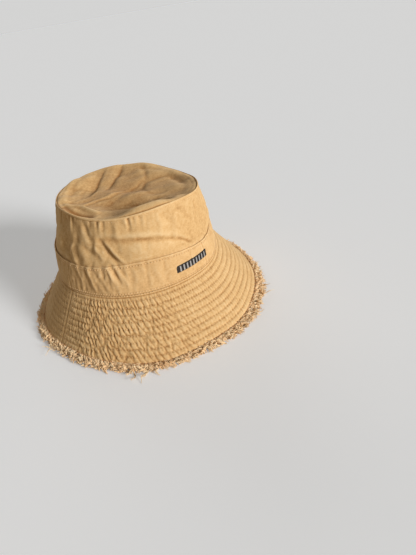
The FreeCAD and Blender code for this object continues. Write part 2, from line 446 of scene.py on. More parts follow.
def cloth_finish(name, deep, middle, pale, pitch=0.9, lean=45, relief=0.12, **constants):
    """A woven cloth in three shades of one dye, with ribs at a pitch in mm and a lean."""
    material, tree, shader = new_finish(name, Sheen_Weight=0.05, Sheen_Roughness=0.5,
                                        Specular_IOR_Level=0.22, Diffuse_Roughness=0.3,
                                        **constants)
    unrolled, body = tree.coordinates("UV"), tree.coordinates("Object")
    worn = tree.attribute("worn")
    x = tree.add("ShaderNodeSeparateXYZ", {}, {"Vector": unrolled}, out="X")
    y = x.output("Y")
    rate = 2 * math.pi / (pitch * MM)
    rib = (x * (rate * math.cos(math.radians(lean))) + y * (rate * math.sin(math.radians(lean)))
           ).sine() * 0.5 + 0.5
    slub, weft = (tree.noise(tree.add("ShaderNodeCombineXYZ", {}, {0: x * round_rate,
                                                                   1: y * up_rate}), 1.0, 3.0) - 0.5
                  for round_rate, up_rate in ((ALONG_YARN, ACROSS_YARN),
                                              (ACROSS_YARN, ALONG_YARN)))
    patch = tree.noise(body, 38.0, 4.0, 0.6) - 0.5
    fleck = tree.noise(body, 330.0, 3.0, 0.6) - 0.5
    tone = patch * 1.3 + slub * 1.5 + weft * 1.1 + fleck * 1.9 + (rib - 0.5) * 0.3
    # The deep dye also stands for painted shade in hollows, and the pale one for painted
    # highlights.
    dyed = tree.add("ShaderNodeValToRGB", {"stops": [(0.0, deep), (0.5, middle), (0.9, pale)]},
                    {"Fac": (worn + tone) * 0.3 + 0.5})
    tree.set(shader, {"Base Color": dyed, "Roughness": tone * 0.12 + 0.88})
    height = rib * 0.7 + slub * 0.9 + weft * 0.7 + fleck * 0.8
    bump = tree.add("ShaderNodeBump", {}, {"Height": height, "Strength": 0.7,
                                           "Distance": relief * MM})
    tree.set(shader, {"Normal": bump})
    return material


print("yarns repeat about", ACROSS_YARN, "times a metre")

# %% Make the cloth finishes
twill = cloth_finish("cotton_twill", (0.42, 0.21, 0.07), (0.75, 0.50, 0.235), (0.89, 0.67, 0.385))
band_twill = cloth_finish("band_twill", (0.46, 0.25, 0.09), (0.77, 0.515, 0.25),
                          (0.91, 0.69, 0.405), lean=-45)
lining_paint = cloth_finish("lining_cotton", (0.42, 0.25, 0.10), (0.66, 0.45, 0.23),
                            (0.80, 0.60, 0.36), pitch=0.6, lean=90)
tape_paint = cloth_finish("sweatband_tape", (0.44, 0.26, 0.11), (0.69, 0.48, 0.26),
                          (0.84, 0.65, 0.42), pitch=1.8, lean=90, relief=0.3)
felt_paint = cloth_finish("interlining", (0.60, 0.55, 0.47), (0.80, 0.76, 0.68),
                          (0.90, 0.87, 0.80), pitch=3.0, lean=20, relief=0.1)
thread_paint = cloth_finish("sewing_thread", (0.60, 0.37, 0.16), (0.83, 0.585, 0.31),
                            (0.92, 0.73, 0.47), pitch=0.7, lean=30)
yarn_paint = cloth_finish("frayed_yarn", (0.52, 0.25, 0.09), (0.93, 0.67, 0.39),
                          (0.98, 0.83, 0.58), pitch=0.8, lean=50, relief=0.2)
print("materials so far:", len(bpy.data.materials))

# %% [markdown]
# ## The badge's finish
# The badge is cast metal in a dark gunmetal colour, rubbed bright where hands and cloth touch its
# raised ribs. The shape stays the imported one, so the finish works out for itself what is raised:
# it takes how far a point stands in front of the bar, and adds scratches from a stretched noise.


# %% Describe a metal finish
def metal_finish(name, dark, bright, front, rise, scratch):
    """Metal that is bright where it stands further forward than front, over a rise, in mm."""
    material, tree, shader = new_finish(name, Specular_IOR_Level=0.5)
    body = tree.coordinates("Object")
    x = tree.add("ShaderNodeSeparateXYZ", {}, {"Vector": body}, out="X")
    y, z = x.output("Y"), x.output("Z")
    curve = 1 / (2 * FOOT_HALF[0] ** 2 / FOOT_HALF[1] * MM)  # How the bar bends round the band.
    lean = (FOOT_HALF[1] - wall_half(BAND_HIGH)[1]) / BAND_HIGH
    middle = SEAM_LEVEL + BADGE_UP
    forward = x * x * curve - y + (z - middle * MM) * lean
    raised = tree.between(forward, front * MM, (front + rise) * MM)
    lines = tree.noise(tree.add("ShaderNodeMapping", {}, {"Vector": body,
                                                        "Scale": (400, 400, 6000)}), 1.0, 4.0)
    spots = tree.noise(body, 900.0, 4.0, 0.65)
    rub = tree.between(spots * 0.5 + raised + lines * 0.2, 0.65, 1.15)
    shade = tree.mix(rub, dark, bright)
    rough = lines * 0.2 + (1 - rub) * 0.15 + 0.34
    bump = tree.add("ShaderNodeBump", {}, {"Height": lines + spots, "Strength": scratch,
                                           "Distance": 0.05 * MM})
    tree.set(shader, {"Base Color": shade, "Roughness": rough, "Metallic": rub * 0.15 + 0.85,
                      "Normal": bump})
    return material


print("badge box", np.round(badge_low, 1), np.round(badge_high, 1))

# %% [markdown]
# ## Modelling cloth
# A cloth that goes round the hat starts as a circle, which is extruded ring by ring along the
# profile of the cloth, its outer face up and its inner face down, and closed with a bridge. The
# rings are then subdivided, so that there are enough points for small folds. Each point keeps its
# place on the cut cloth as attributes, and folds are sculpted by moving the points in code, which
# gives the same result each run and keeps thin layers apart better than a simulation would.


# %% Select and open a piece
def alone(piece):
    """Select a piece alone, and make it the one that operators act on."""
    bpy.ops.object.select_all(action="DESELECT")
    piece.select_set(True)
    bpy.context.view_layer.objects.active = piece


def enter(piece, mode=(True, False, False)):
    """Open a piece alone in edit mode, to work on its points, or on its edges."""
    alone(piece)
    bpy.context.tool_settings.mesh_select_mode = mode
    bpy.ops.object.mode_set(mode="EDIT")


def leave():
    """Go back to object mode."""
    bpy.ops.object.mode_set(mode="OBJECT")


def pick(piece, points=None, edges=None):
    """Set what is selected, from one flag for each point or each edge."""
    for things, flags in ((piece.data.vertices, points), (piece.data.edges, edges),
                          (piece.data.polygons, None)):
        chosen = np.zeros(len(things), bool) if flags is None else flags
        things.foreach_set("select", chosen)


# %% Read and write the points of a piece
def read_points(piece):
    """The place of each point, in metres."""
    points = np.zeros(len(piece.data.vertices) * 3)
    piece.data.vertices.foreach_get("co", points)
    return points.reshape(-1, 3)


def write_points(piece, points_mm):
    """Move each point to a place in millimetres."""
    piece.data.vertices.foreach_set("co", (points_mm * MM).astype(np.float32).ravel())
    piece.data.update()


def keep(piece, name, values):
    """Store a number or a vector for each point."""
    kind, field = ("FLOAT", "value") if values.ndim == 1 else ("FLOAT_VECTOR", "vector")
    data = piece.data.attributes.new(name, kind, "POINT").data
    data.foreach_set(field, values.astype(np.float32).ravel())


def kept(piece, name):
    """Read a stored vector of each point."""
    data = piece.data.attributes[name].data
    values = np.zeros(len(data) * 3)
    data.foreach_get("vector", values)
    return values.reshape(-1, 3)


print("points are read in metres and written in millimetres")

# %% Extrude an open sleeve
AROUND = 72


def open_sleeve(name, profile):
    """A cloth round the hat, ring by ring along its profile, with its place on the cut cloth."""
    rings = [(*(half + out for half in wall_half(up)), SEAM_LEVEL + up) for out, up, _ in profile]
    bpy.ops.object.select_all(action="DESELECT")
    bpy.ops.mesh.primitive_circle_add(vertices=AROUND, radius=1)
    piece = bpy.context.object
    piece.name = name
    enter(piece)
    bpy.ops.mesh.select_all(action="SELECT")
    x, y, z = rings[0]
    bpy.ops.transform.resize(value=(x * MM, y * MM, 1))
    bpy.ops.transform.translate(value=(0, 0, z * MM))
    for (x, y, z), (wider, longer, higher) in zip(rings, rings[1:]):
        bpy.ops.mesh.extrude_edges_move(
            TRANSFORM_OT_translate={"value": (0, 0, (higher - z) * MM)})
        bpy.ops.transform.resize(value=(wider / x, longer / y, 1),
                                 center_override=(0, 0, higher * MM))
    leave()
    ring = np.arange(len(piece.data.vertices)) // AROUND
    points, halves = read_points(piece), np.array(rings)[ring]
    keep(piece, "turned", np.stack([-points[:, 1] / halves[:, 1], points[:, 0] / halves[:, 0],
                                    0 * ring], -1) / MM)
    keep(piece, "cut", np.array(profile)[ring])
    return piece, ring


print("a sleeve starts with", AROUND, "points round the hat")


# %% Close and subdivide the sleeve
def sleeve(name, profile, cuts=7):
    """A closed cloth round the hat. Its profile is a list of (out, up, quilted) rings."""
    piece, ring = open_sleeve(name, profile)
    pick(piece, points=(ring == 0) | (ring == len(profile) - 1))
    enter(piece)
    bpy.ops.mesh.select_mode(type="VERT")
    bpy.ops.mesh.bridge_edge_loops()
    leave()
    ends = np.zeros(len(piece.data.edges) * 2, int)
    piece.data.edges.foreach_get("vertices", ends)
    ends = ring[ends.reshape(-1, 2)]
    pick(piece, edges=ends[:, 0] == ends[:, 1])
    enter(piece, (False, True, False))
    bpy.ops.mesh.subdivide(number_cuts=cuts)
    bpy.ops.mesh.select_all(action="SELECT")
    bpy.ops.mesh.normals_make_consistent(inside=False)
    leave()
    turned = kept(piece, "turned")
    return piece, np.arctan2(turned[:, 1], turned[:, 0]), *kept(piece, "cut").T


print("with 7 cuts it has", AROUND * 8, "points round the hat")


# %% Give a cloth its own coordinates
def face_corners(piece):
    """The number of the point at each corner of each face."""
    corners = np.zeros(len(piece.data.loops), int)
    piece.data.loops.foreach_get("vertex_index", corners)
    return corners


def write_uv(piece, flat):
    """Lay each corner of each face at its place on the cut cloth, in millimetres."""
    if not piece.data.uv_layers:
        piece.data.uv_layers.new(name="cloth")
    piece.data.uv_layers[0].data.foreach_set("uv", (flat * MM).astype(np.float32).ravel())


def unroll(piece, turn, level, radius=CLOTH_ROUND):
    """Lay a cloth that goes round the hat flat: round the hat, and up or along it."""
    corners = face_corners(piece)
    starts, totals = (np.zeros(len(piece.data.polygons), int) for _ in range(2))
    piece.data.polygons.foreach_get("loop_start", starts)
    piece.data.polygons.foreach_get("loop_total", totals)
    first = np.repeat(turn[corners[starts]], totals)
    angle = first + (turn[corners] - first + math.pi) % (2 * math.pi) - math.pi
    write_uv(piece, np.stack([angle * radius, level[corners]], -1))


print("twill is unrolled at a radius of", CLOTH_ROUND, "mm")

# %% Dress and divide a piece
SMOOTH_BELOW = math.radians(50)


def dress(piece, material, slot, *nodes):
    """Finish a piece: its material, its smooth shading, its body and its nodes. The slot is not
    used.
    """
    piece.data.materials.clear()
    piece.data.materials.append(material)
    for name in ("turned", "cut"):
        if name in piece.data.attributes:
            piece.data.attributes.remove(piece.data.attributes[name])
    alone(piece)
    bpy.ops.object.shade_smooth_by_angle(angle=SMOOTH_BELOW)
    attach(piece, "root")
    if nodes:
        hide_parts(*nodes)
    faces = sum(len(face.vertices) - 2 for face in piece.data.polygons)
    print(f"{piece.name}: {faces} triangles")


def cut_at_sides(piece, names):
    """Cut a sleeve in two at its side seams, each half closed, and name the halves."""
    piece.name = names[0]
    alone(piece)
    bpy.ops.object.duplicate()
    other = bpy.context.object
    other.name = names[1]
    for half, sign in ((piece, 1), (other, -1)):
        enter(half)
        bpy.ops.mesh.select_all(action="SELECT")
        bpy.ops.mesh.bisect(plane_co=(0, 0, 0), plane_no=(0, sign, 0), use_fill=True,
                            clear_outer=True)
        leave()
    return piece, other


print("faces that meet at less than 50 degrees are shaded smooth")

# %% [markdown]
# ## Folds
# Four kinds of fold are enough for a sewn hat: a broad random ripple, a crease along a line with
# a soft lip beside it, a row of short puckers where a seam draws the cloth in, and the groove of a
# seam. Each is a function that says how far a point moves out, so folds are simply added up.

# %% Ripple the cloth
WAVES = 14


def ripples(turn, level, seed, lengths, lean=0.0, spread=90.0, radius=CLOTH_ROUND):
    """Random soft waves of those lengths in mm, running round the hat or leaning in degrees."""
    draw = np.random.RandomState(seed)
    total = np.zeros_like(turn)
    for _ in range(WAVES):
        length = draw.uniform(*lengths)
        heading = math.radians(draw.uniform(lean - spread, lean + spread))
        rounds = round(2 * math.pi * radius * math.cos(heading) / length)
        total += np.cos(rounds * turn + 2 * math.pi * math.sin(heading) / length * level
                        + draw.uniform(0, 2 * math.pi))
    return total / math.sqrt(WAVES / 2)


print("a ripple is", WAVES, "waves added up")


# %% Crease the cloth along a line
def beside(x, y, line):
    """How far points lie from a line of points, to its left or right, and how far along it."""
    nearest, side, where = np.full(x.shape, 1e9), np.zeros(x.shape), np.zeros(x.shape)
    lengths = [math.dist(a, b) for a, b in zip(line, line[1:])]
    passed = 0.0
    for (x0, y0), (x1, y1), length in zip(line, line[1:], lengths):
        dx, dy = (x1 - x0) / length, (y1 - y0) / length
        along = np.clip((x - x0) * dx + (y - y0) * dy, 0, length)
        off_x, off_y = x - x0 - along * dx, y - y0 - along * dy
        far = np.hypot(off_x, off_y)
        closer = far < nearest
        nearest = np.where(closer, far, nearest)
        side = np.where(closer, np.sign(dx * off_y - dy * off_x), side)
        where = np.where(closer, (passed + along) / sum(lengths), where)
        passed += length
    return nearest, side, where


LIP_OFF, LIP_WIDE = 1.8, 1.3


def fold(x, y, line, deep, wide, lip=0.0):
    """A crease along a line, that deep and wide, with a lip to its left, or right if negative."""
    nearest, side, where = beside(x, y, line)
    taper = np.sqrt(np.clip(np.sin(math.pi * (0.06 + 0.88 * where)), 0, 1))
    signed = nearest * side * (1 if lip >= 0 else -1)
    return taper * (abs(lip) * np.exp(-((signed - LIP_OFF * wide) / (LIP_WIDE * wide)) ** 2)
                    - deep * np.exp(-(nearest / wide) ** 2))


def wall_fold(turn, up, line, deep, wide, lip=0.0):
    """A crease on the wall, along a line of (turn in degrees, up in mm)."""
    middle = math.radians(np.mean([point[0] for point in line]))
    off = (turn - middle + math.pi) % (2 * math.pi) - math.pi
    flat = [((math.radians(angle) - middle) * WALL_ROUND, level) for angle, level in line]
    return fold(off * WALL_ROUND, up, flat, deep, wide, lip)


print("creases are laid out at a radius of", WALL_ROUND, "mm")


# %% Find places round the hat, and strew creases over them
def near_turn(turn, degrees, radius=WALL_ROUND):
    """The distance in mm round the hat from a turn in degrees."""
    return ((turn - math.radians(degrees) + math.pi) % (2 * math.pi) - math.pi) * radius


def within(turn, low, high, soft=8.0):
    """1 between two turns in degrees, and 0 outside them, with soft ends."""
    middle, half = (low + high) / 2, (high - low) / 2
    away = np.abs(near_turn(turn, middle, 180 / math.pi))
    return 1 / (1 + np.exp(np.clip((away - half) / soft * 4, -50, 50)))


def scattered(seed, count, turns, levels, reach, deep, wide, heading=90.0, spread=50.0):
    """Small creases strewn over a part of the wall, each as (line, deep, wide, lip)."""
    draw = np.random.RandomState(seed)
    found = []
    for _ in range(count):
        turn, level = draw.uniform(*turns), draw.uniform(*levels)
        size, lean = draw.uniform(*reach) / 2, math.radians(draw.normal(heading, spread / 2))
        bow = draw.normal(0, 0.18) * size
        line = [(turn + math.degrees((step * size * math.cos(lean)
                                      - (1 - step * step) * bow * math.sin(lean)) / WALL_ROUND),
                 level + step * size * math.sin(lean) + (1 - step * step) * bow * math.cos(lean))
                for step in (-1, 0, 1)]
        depth = draw.uniform(*deep)
        found.append((line, depth, draw.uniform(*wide), draw.choice((-0.6, 0.6)) * depth))
    return found


print("small creases are strewn from seeds, so they are the same each time")

# %% Work the folds out once
CELLS_A_DEGREE = 4
DEEPEST, PALEST = -1.6, 0.8


class Relief:
    """Folds worked out once on a fine grid of turns and levels, and read off between its points."""

    def __init__(self, folds, low, high, step=0.5, rub=1.7):
        self.low, self.step = low, step
        turns = np.radians(np.arange(0, 360, 1 / CELLS_A_DEGREE))
        levels = np.arange(low, high + step, step)
        self.heights = folds(*np.meshgrid(turns, levels))
        # Painted light: a point above its softened surroundings is made paler, as rubbed wear and a
        # painted highlight, and one below them darker, as painted shade. rub sets how strong.
        fine, broad = (self.heights - self.softer(reach) for reach in (3, 9))
        self.rubbed_and_shaded = np.clip(rub * fine + 0.6 * broad, DEEPEST, PALEST)

    def softer(self, reach):
        """The grid averaged over a few cells each way."""
        sums = np.zeros_like(self.heights)
        steps = np.arange(-reach, reach + 1)
        rows = np.arange(len(self.heights))
        for step in steps:
            sums += self.heights[np.clip(rows + step, 0, len(rows) - 1)]
        return sum(np.roll(sums, step, 1) for step in steps) / len(steps) ** 2

    def read(self, table, turn, level):
        """A value between the four nearest points of the grid."""
        across = np.degrees(turn) % 360 * CELLS_A_DEGREE
        down = np.clip((level - self.low) / self.step, 0, len(table) - 1.001)
        left, lower = across.astype(int), down.astype(int)
        share, rise = across - left, down - lower
        left, right = left % table.shape[1], (left + 1) % table.shape[1]
        return ((table[lower, left] * (1 - share) + table[lower, right] * share) * (1 - rise)
                + (table[lower + 1, left] * (1 - share) + table[lower + 1, right] * share) * rise)

    def __call__(self, turn, level):
        """How far a point is moved out."""
        return self.read(self.heights, turn, level)

    def worn(self, turn, level):
        """Positive on a ridge, rubbed paler with a painted highlight, and negative in a hollow, as
        painted shade.
        """
        return self.read(self.rubbed_and_shaded, turn, level)


print("a grid of folds is", 360 * CELLS_A_DEGREE, "cells round")

# %% [markdown]
# ## Folds of the crown and the band
# The crown has a deep slanting crease over its front right with a sharp ridge beside it, a long
# shallow one that runs round to a small pinch above the badge, and a few puckers where its top is
# gathered into the crown seam. The band is sewn over the crown's foot, so below its top edge crown
# and band share the same folds. A fold is (line of turn and up, deep, wide), with a lip after that
# where it has one, and a negative depth is a ridge.

# %% List the folds of the crown
CROWN_FOLDS = [
    ([(-60, 58), (-56, 50), (-52.5, 42), (-48, 34)], 2.2, 2.8),
    ([(-56, 56), (-52.5, 50), (-49, 43), (-44, 34)], -1.3, 2.0),
    ([(-58, 58), (-48.7, 56), (-39, 54.6), (-26, 51.3), (-16, 47.5), (-6.5, 42.6)], 1.5, 3.4),
    ([(-38, 54.4), (-32, 53), (-25, 51)], 0.9, 1.8),
    ([(-15, 47.2), (-10, 45), (-6, 42)], 0.9, 1.6),
    ([(-57, 64), (-48, 61.5), (-38, 60), (-26, 57), (-16, 53), (-6, 48)], -1.5, 3.2),
    ([(-54, 48), (-42, 46), (-28, 43), (-16, 40)], -0.7, 5.0),
    ([(-6.5, 43.8), (-1.2, 40), (3.6, 36)], 1.5, 1.7, 0.4),
    ([(-92, 72), (-89, 56), (-88, 40)], 2.0, 8.0),
    ([(-72, 73), (-68.6, 64), (-67, 55)], 1.2, 2.8),
    ([(-81, 53), (-84, 47), (-86.4, 41.5)], -1.2, 2.1),
    ([(-84, 54), (-88, 42), (-86, 36)], 0.8, 2.6),
    ([(-82.6, 44), (-81, 36), (-79.6, 28)], -1.2, 2.0),
    ([(-78.4, 50), (-77.4, 38), (-76, 30)], 0.9, 2.6),
    ([(-71, 58), (-67, 57), (-64.4, 59)], -0.9, 3.0),
    ([(-72.5, 52), (-69, 47), (-66, 45)], 0.8, 2.6),
    ([(-74, 46), (-71, 38), (-69, 32)], -0.7, 3.8),
    ([(-64, 54), (-61, 46), (-58, 38)], -0.8, 2.6),
    ([(-48, 77), (-47.4, 68), (-46, 60)], -0.9, 3.2), ([(-2, 74), (4, 66), (10, 56)], 1.1, 3.4),
    ([(-13, 70), (-9, 60), (-11, 52)], 0.9, 4.2), ([(-19, 72), (-16, 62), (-18, 54)], -0.6, 3.4),
    ([(-5, 62), (-3, 54), (0, 48)], -0.6, 3.6), ([(-40, 66), (-34, 62), (-27, 60)], 0.4, 3.6),
    ([(16, 70), (22, 60), (24, 48)], 0.6, 4.6), ([(26, 42), (44, 48), (62, 44)], 0.9, 3.6, 0.2),
    ([(40, 66), (48, 58), (50, 50)], 0.5, 3.4), ([(72, 68), (79, 52), (82, 37)], 1.4, 4.4, 0.4),
    ([(96, 40), (112, 52), (128, 49)], 1.2, 3.6, 0.3),
    ([(134, 70), (142, 56), (146, 40)], 1.4, 4.4, -0.4),
    ([(160, 44), (176, 54), (192, 51)], 1.4, 3.6, 0.3),
    ([(204, 68), (212, 54), (216, 38)], 1.6, 4.2, 0.4),
    ([(228, 46), (240, 56), (252, 54)], 1.1, 3.4, 0.2), ([(150, 64), (158, 60)], 0.8, 2.6, 0.2),
    ([(108, 70), (104, 60)], 0.7, 2.6, 0.2),
]
CROWN_FOLDS += scattered(71, 30, (-100, -58), (30, 72), (7, 20), (0.2, 0.6), (1.5, 3.0), 110, 60)
CROWN_FOLDS += scattered(72, 14, (-56, -20), (38, 72), (7, 20), (0.12, 0.35), (1.8, 3.4), 100, 50)
CROWN_FOLDS += scattered(73, 20, (-18, 66), (38, 72), (8, 22), (0.2, 0.55), (1.8, 3.8), 70, 60)
CROWN_FOLDS += scattered(74, 70, (70, 256), (34, 73), (6, 22), (0.2, 0.65), (1.5, 3.2), 95, 70)
print("crown folds:", len(CROWN_FOLDS))

# %% List the folds of the band
BAND_FOLDS = [
    ([(-79.6, 33), (-78.5, 26), (-76.2, 16)], -0.9, 1.8), ([(-76.5, 33), (-75, 25)], 0.6, 1.8),
    ([(-70.4, 30), (-68.6, 20), (-66.6, 6)], -1.2, 2.4),
    ([(-72.8, 30), (-72, 16), (-71, 6)], 0.7, 2.0), ([(-66, 31), (-64, 18)], 0.7, 1.8),
    ([(-56.4, 34), (-54, 23), (-51.6, 11)], -1.0, 1.8),
    ([(-53.4, 34), (-51.6, 25), (-49, 14)], 1.2, 1.5), ([(-60.4, 32), (-58, 14)], 0.7, 1.8),
    ([(-47.6, 31), (-46.2, 22), (-44.4, 11)], -0.9, 1.6),
    ([(-49.6, 35), (-47.8, 29), (-45.4, 21)], 1.3, 1.5), ([(-42, 30), (-40, 12)], 0.35, 1.8, 0.2),
    ([(-31.7, 32), (-31.9, 6)], 0.5, 1.5, 0.2), ([(-20, 32), (-20.8, 17)], 0.45, 1.4, 0.2),
    ([(27, 26), (40, 20)], 0.5, 2.8, 0.3), ([(64, 30), (67, 8)], 0.8, 2.0, 0.6),
    ([(84, 31), (80, 10)], 0.7, 2.0, 0.5), ([(118, 31), (122, 8)], 0.9, 1.9, 0.7),
    ([(146, 31), (143, 10)], 0.8, 2.0, 0.6), ([(171, 31), (174, 8)], 0.9, 1.9, 0.7),
    ([(197, 31), (194, 9)], 0.8, 2.2, 0.6), ([(226, 31), (229, 8)], 0.9, 1.9, 0.6),
]
BAND_FOLDS += scattered(75, 26, (-98, -40), (5, 32), (5, 16), (0.12, 0.35), (0.9, 1.8), 75, 40)
BAND_FOLDS += scattered(76, 50, (60, 262), (5, 32), (5, 18), (0.2, 0.55), (0.9, 2.0), 90, 50)
print("band folds:", len(BAND_FOLDS))

# %% List the puckers under the crown seam, as turn, deep, wide and reach
PUCKERS = [
    (-60.9, 1.0, 1.5, 8), (-56.5, 0.7, 1.5, 7), (-38.6, 1.4, 1.5, 8), (-30.5, 0.6, 2.2, 12),
    (-66.5, 0.5, 1.6, 6), (-34.6, 0.3, 1.4, 6), (-51, 0.25, 1.3, 5), (-43.5, 0.25, 1.3, 5),
]
loose = np.random.RandomState(5)
PUCKERS += [(angle + loose.uniform(-3, 3), loose.uniform(0.1, 0.3), loose.uniform(1.3, 2.4),
             loose.uniform(4, 8)) for angle in range(-18, 70, 9)]
PUCKERS += [(angle + loose.uniform(-3, 3), loose.uniform(0.3, 1.3), loose.uniform(1.3, 2.2),
             loose.uniform(5, 11)) for angle in range(72, 286, 8)]
print("puckers:", len(PUCKERS))

# %% [markdown]
# ## Adding up the folds
# The functions below add the listed folds to a few broad random ripples. The fold of a stitched row
# is a narrow groove, drawn in a little more at each stitch. Each sum is worked out once on a grid.
# The hat is creased more in some parts than in others, so the short ripples are scaled by where
# they are.

# %% Fold the band
STITCH, THREAD = 3.1, 0.9
BAND_ROWS = (2.2, BAND_HIGH - 2.6)
CROWN_ROW = CROWN_HIGH - 2.4
SIDE_SEAMS, BAND_SEAM, BESIDE_SEAM = (-88.5, 90.0), 12.0, 1.9
ROW_DEEP, ROW_WIDE = 0.42, 0.75


def row_groove(turn, up, level):
    """The groove of a row of stitches round the hat at a level."""
    pull = 0.75 + 0.25 * np.cos(turn * round(2 * math.pi * ROW_ROUND / STITCH))
    return -ROW_DEEP * pull * np.exp(-((up - level) / ROW_WIDE) ** 2)


def band_folds(turn, up):
    """The folds that the band and the crown's foot share, in mm outwards."""
    creased = 0.25 + within(turn, -96, -42) + 0.5 * within(turn, 70, 256)
    moved = (0.35 * ripples(turn, up, 21, (45, 90)) + 0.13 * ripples(turn, up, 22, (9, 20), 0, 30)
             + 0.12 * creased * ripples(turn, up, 23, (5, 9), 10, 25))
    for crease in BAND_FOLDS:
        moved = moved + wall_fold(turn, up, *crease)
    return moved * np.clip(up / 5, 0.15, 1) * clear_of_badge(turn, up)


def own_folds(turn, up):
    """The band's folds, its lifted top edge, and the grooves of its seams and stitches."""
    lifted = np.clip((up - BAND_HIGH + 9) / 9, 0, 1) ** 2
    lift = (0.12 + 0.9 * within(turn, -113, -92, 5) + 0.5 * within(turn, 100, 230, 15)) * lifted
    grooves = sum(-0.55 * np.exp(-(near_turn(turn, seam) / 0.7) ** 2)
                  + 0.25 * np.exp(-((np.abs(near_turn(turn, seam)) - BESIDE_SEAM) / 1.2) ** 2)
                  for seam in (*SIDE_SEAMS, BAND_SEAM))
    rows = sum(row_groove(turn, up, level) for level in BAND_ROWS)
    return band_folds(turn, up) + lift + grooves + rows


shared_relief = Relief(band_folds, 0, BAND_HIGH)
band_relief = Relief(own_folds, 0, BAND_HIGH + 2)
print("band folds from", round(band_relief.heights.min(), 1), "to",
      round(band_relief.heights.max(), 1), "mm")


# %% Fold the crown
def crown_folds(turn, up):
    """The folds of the crown above the band, in mm outwards."""
    creased = 0.35 + 0.7 * within(turn, -100, -58, 12) + 0.35 * within(turn, 90, 250, 20)
    moved = (0.9 * ripples(turn, up, 1, (60, 120)) + 0.4 * creased * ripples(turn, up, 2, (20, 40))
             + 0.17 * creased * ripples(turn, up, 3, (8, 16)))
    for crease in CROWN_FOLDS:
        moved = moved + wall_fold(turn, up, *crease)
    moved = moved * np.clip((CROWN_HIGH - up) / 7, 0, 1)
    below = CROWN_HIGH - 1.2 - up
    for angle, deep, wide, reach in PUCKERS:
        off = near_turn(turn, angle) - np.clip(below, 0, 20) * 0.06
        drawn = np.exp(-(off / wide) ** 2) - 0.4 * np.exp(-((np.abs(off) - 2 * wide) / wide) ** 2)
        moved = moved - deep * drawn * np.exp(-(np.clip(below, 0, 99) / reach) ** 1.5) * (below > 0)
    return moved + 0.8 * row_groove(turn, up, CROWN_ROW)


def wall_folds(turn, up):
    """Folds of the whole wall: the band's below the band's top, and the crown's above it."""
    share = np.clip((up - BAND_HIGH + 1) / 5, 0, 1)
    return band_folds(turn, up) * (1 - share) + (crown_folds(turn, up) - 0.25) * share


wall_relief = Relief(wall_folds, 0, CROWN_HIGH + 2)
print("wall folds from", round(wall_relief.heights.min(), 1), "to",
      round(wall_relief.heights.max(), 1), "mm")

# %% [markdown]
# ## The crown's side
# The side of the crown is one wall of twill with its top edge turned in and sewn to the tip, which
# leaves a thin round ridge all round. The profile goes up the outer face, over that ridge and down
# the inner face, so the cloth has a real thickness and a real turned edge.


# %% Draw the profile of a wall
def wall_profile(outer, thick, low, high, ridge, bead, step=1.25, inner_step=2.5):
    """Rings up an outer face, over a round edge as wide as two beads, and down the inner face."""
    up_face = [(outer, up, 0) for up in np.arange(low, high - ridge, step)]
    middle = outer - thick / 2
    turned_edge = [(middle + bead * math.cos(a), high - ridge + ridge * math.sin(a) * 1.15, 0)
                   for a in np.radians([-5, 22, 45, 68, 90, 112, 135, 158, 185])]
    down_face = [(outer - thick, up, 0) for up in np.arange(high - ridge - 1, low, -inner_step)]
    return up_face + turned_edge + down_face + [(outer - thick, low, 0)]


crown_profile = wall_profile(0.0, CLOTH, 0.0, CROWN_HIGH + 0.6, 1.1, 0.72)
print("the crown's profile has", len(crown_profile), "rings")


# %% Model the crown's side
def wall_piece(name, profile, relief, edge_highlight_and_shade=0.0, foot_shade=0.0, front_painted_light=0.0, **sizes):
    """A sleeve shaped to the settled wall and its folds, and painted paler or darker in places, as
    painted light and shade.
    """
    piece, turn, out, up, _ = sleeve(name, profile, **sizes)
    level = np.clip(up, 0, None)
    write_points(piece, place(turn, out + relief(turn, level), up))
    outer = max(ring[0] for ring in profile)
    edge = np.exp(-((up - up.max() + 0.3) / 0.8) ** 2)
    inner = (out < profile[0][0] - 0.2) & (up > up.max() - 2.5)
    # The turned edge is painted paler outside, a painted highlight, and darker inside, a painted
    # shade.
    worn = relief.worn(turn, level) + edge_highlight_and_shade * edge * np.where(inner, -1.6, 1)
    # The front of the crown above the band is painted paler, as painted light.
    worn = worn + front_painted_light * within(turn, -42, -6, 14) * np.clip((up - BAND_HIGH) / 6, 0, 1)
    # The foot is painted darker where it meets the brim, as painted shade.
    keep(piece, "worn", worn - foot_shade * np.exp(-(up / 0.7) ** 2) * (out > outer - 0.8))
    unroll(piece, turn, up)
    return piece


# The crown's edge gets a painted highlight and painted shade, and its front painted light.
crown = wall_piece("crown_side_cloth", crown_profile, wall_relief, 0.5, front_painted_light=0.3)
dress(crown, twill, "twill", "crown_side_front", "crown_side_back")

# %% [markdown]
# ## The hat band
# The band is a folded strip of the same twill, sewn round the crown's foot. Its top fold stands off
# the crown a little, most of all over the wearer's right. It is joined at the sides, and a seam
# stands beside the badge. It is made as the crown's side is, with a rounder top edge.

# %% Model the band
BAND_CLOTH = 1.2
BAND_OUT = GAP + BAND_CLOTH
# The band's edge gets a painted highlight and painted shade, and its foot painted shade.
band = wall_piece("hat_band_cloth",
                  wall_profile(BAND_OUT, BAND_CLOTH, 0.1, BAND_HIGH, 1.1, 0.66, inner_step=4.0),
                  band_relief, 0.6, 1.6)
dress(band, band_twill, "band_twill", "hat_band_front", "hat_band_back")

# %% [markdown]
# ## The lining and the sweatband
# Inside, a light lining hangs behind the crown and a ribbed tape lies over the seams where the hat
# touches the head. Both follow the wall's folds, softened, because they are held by the same seams.

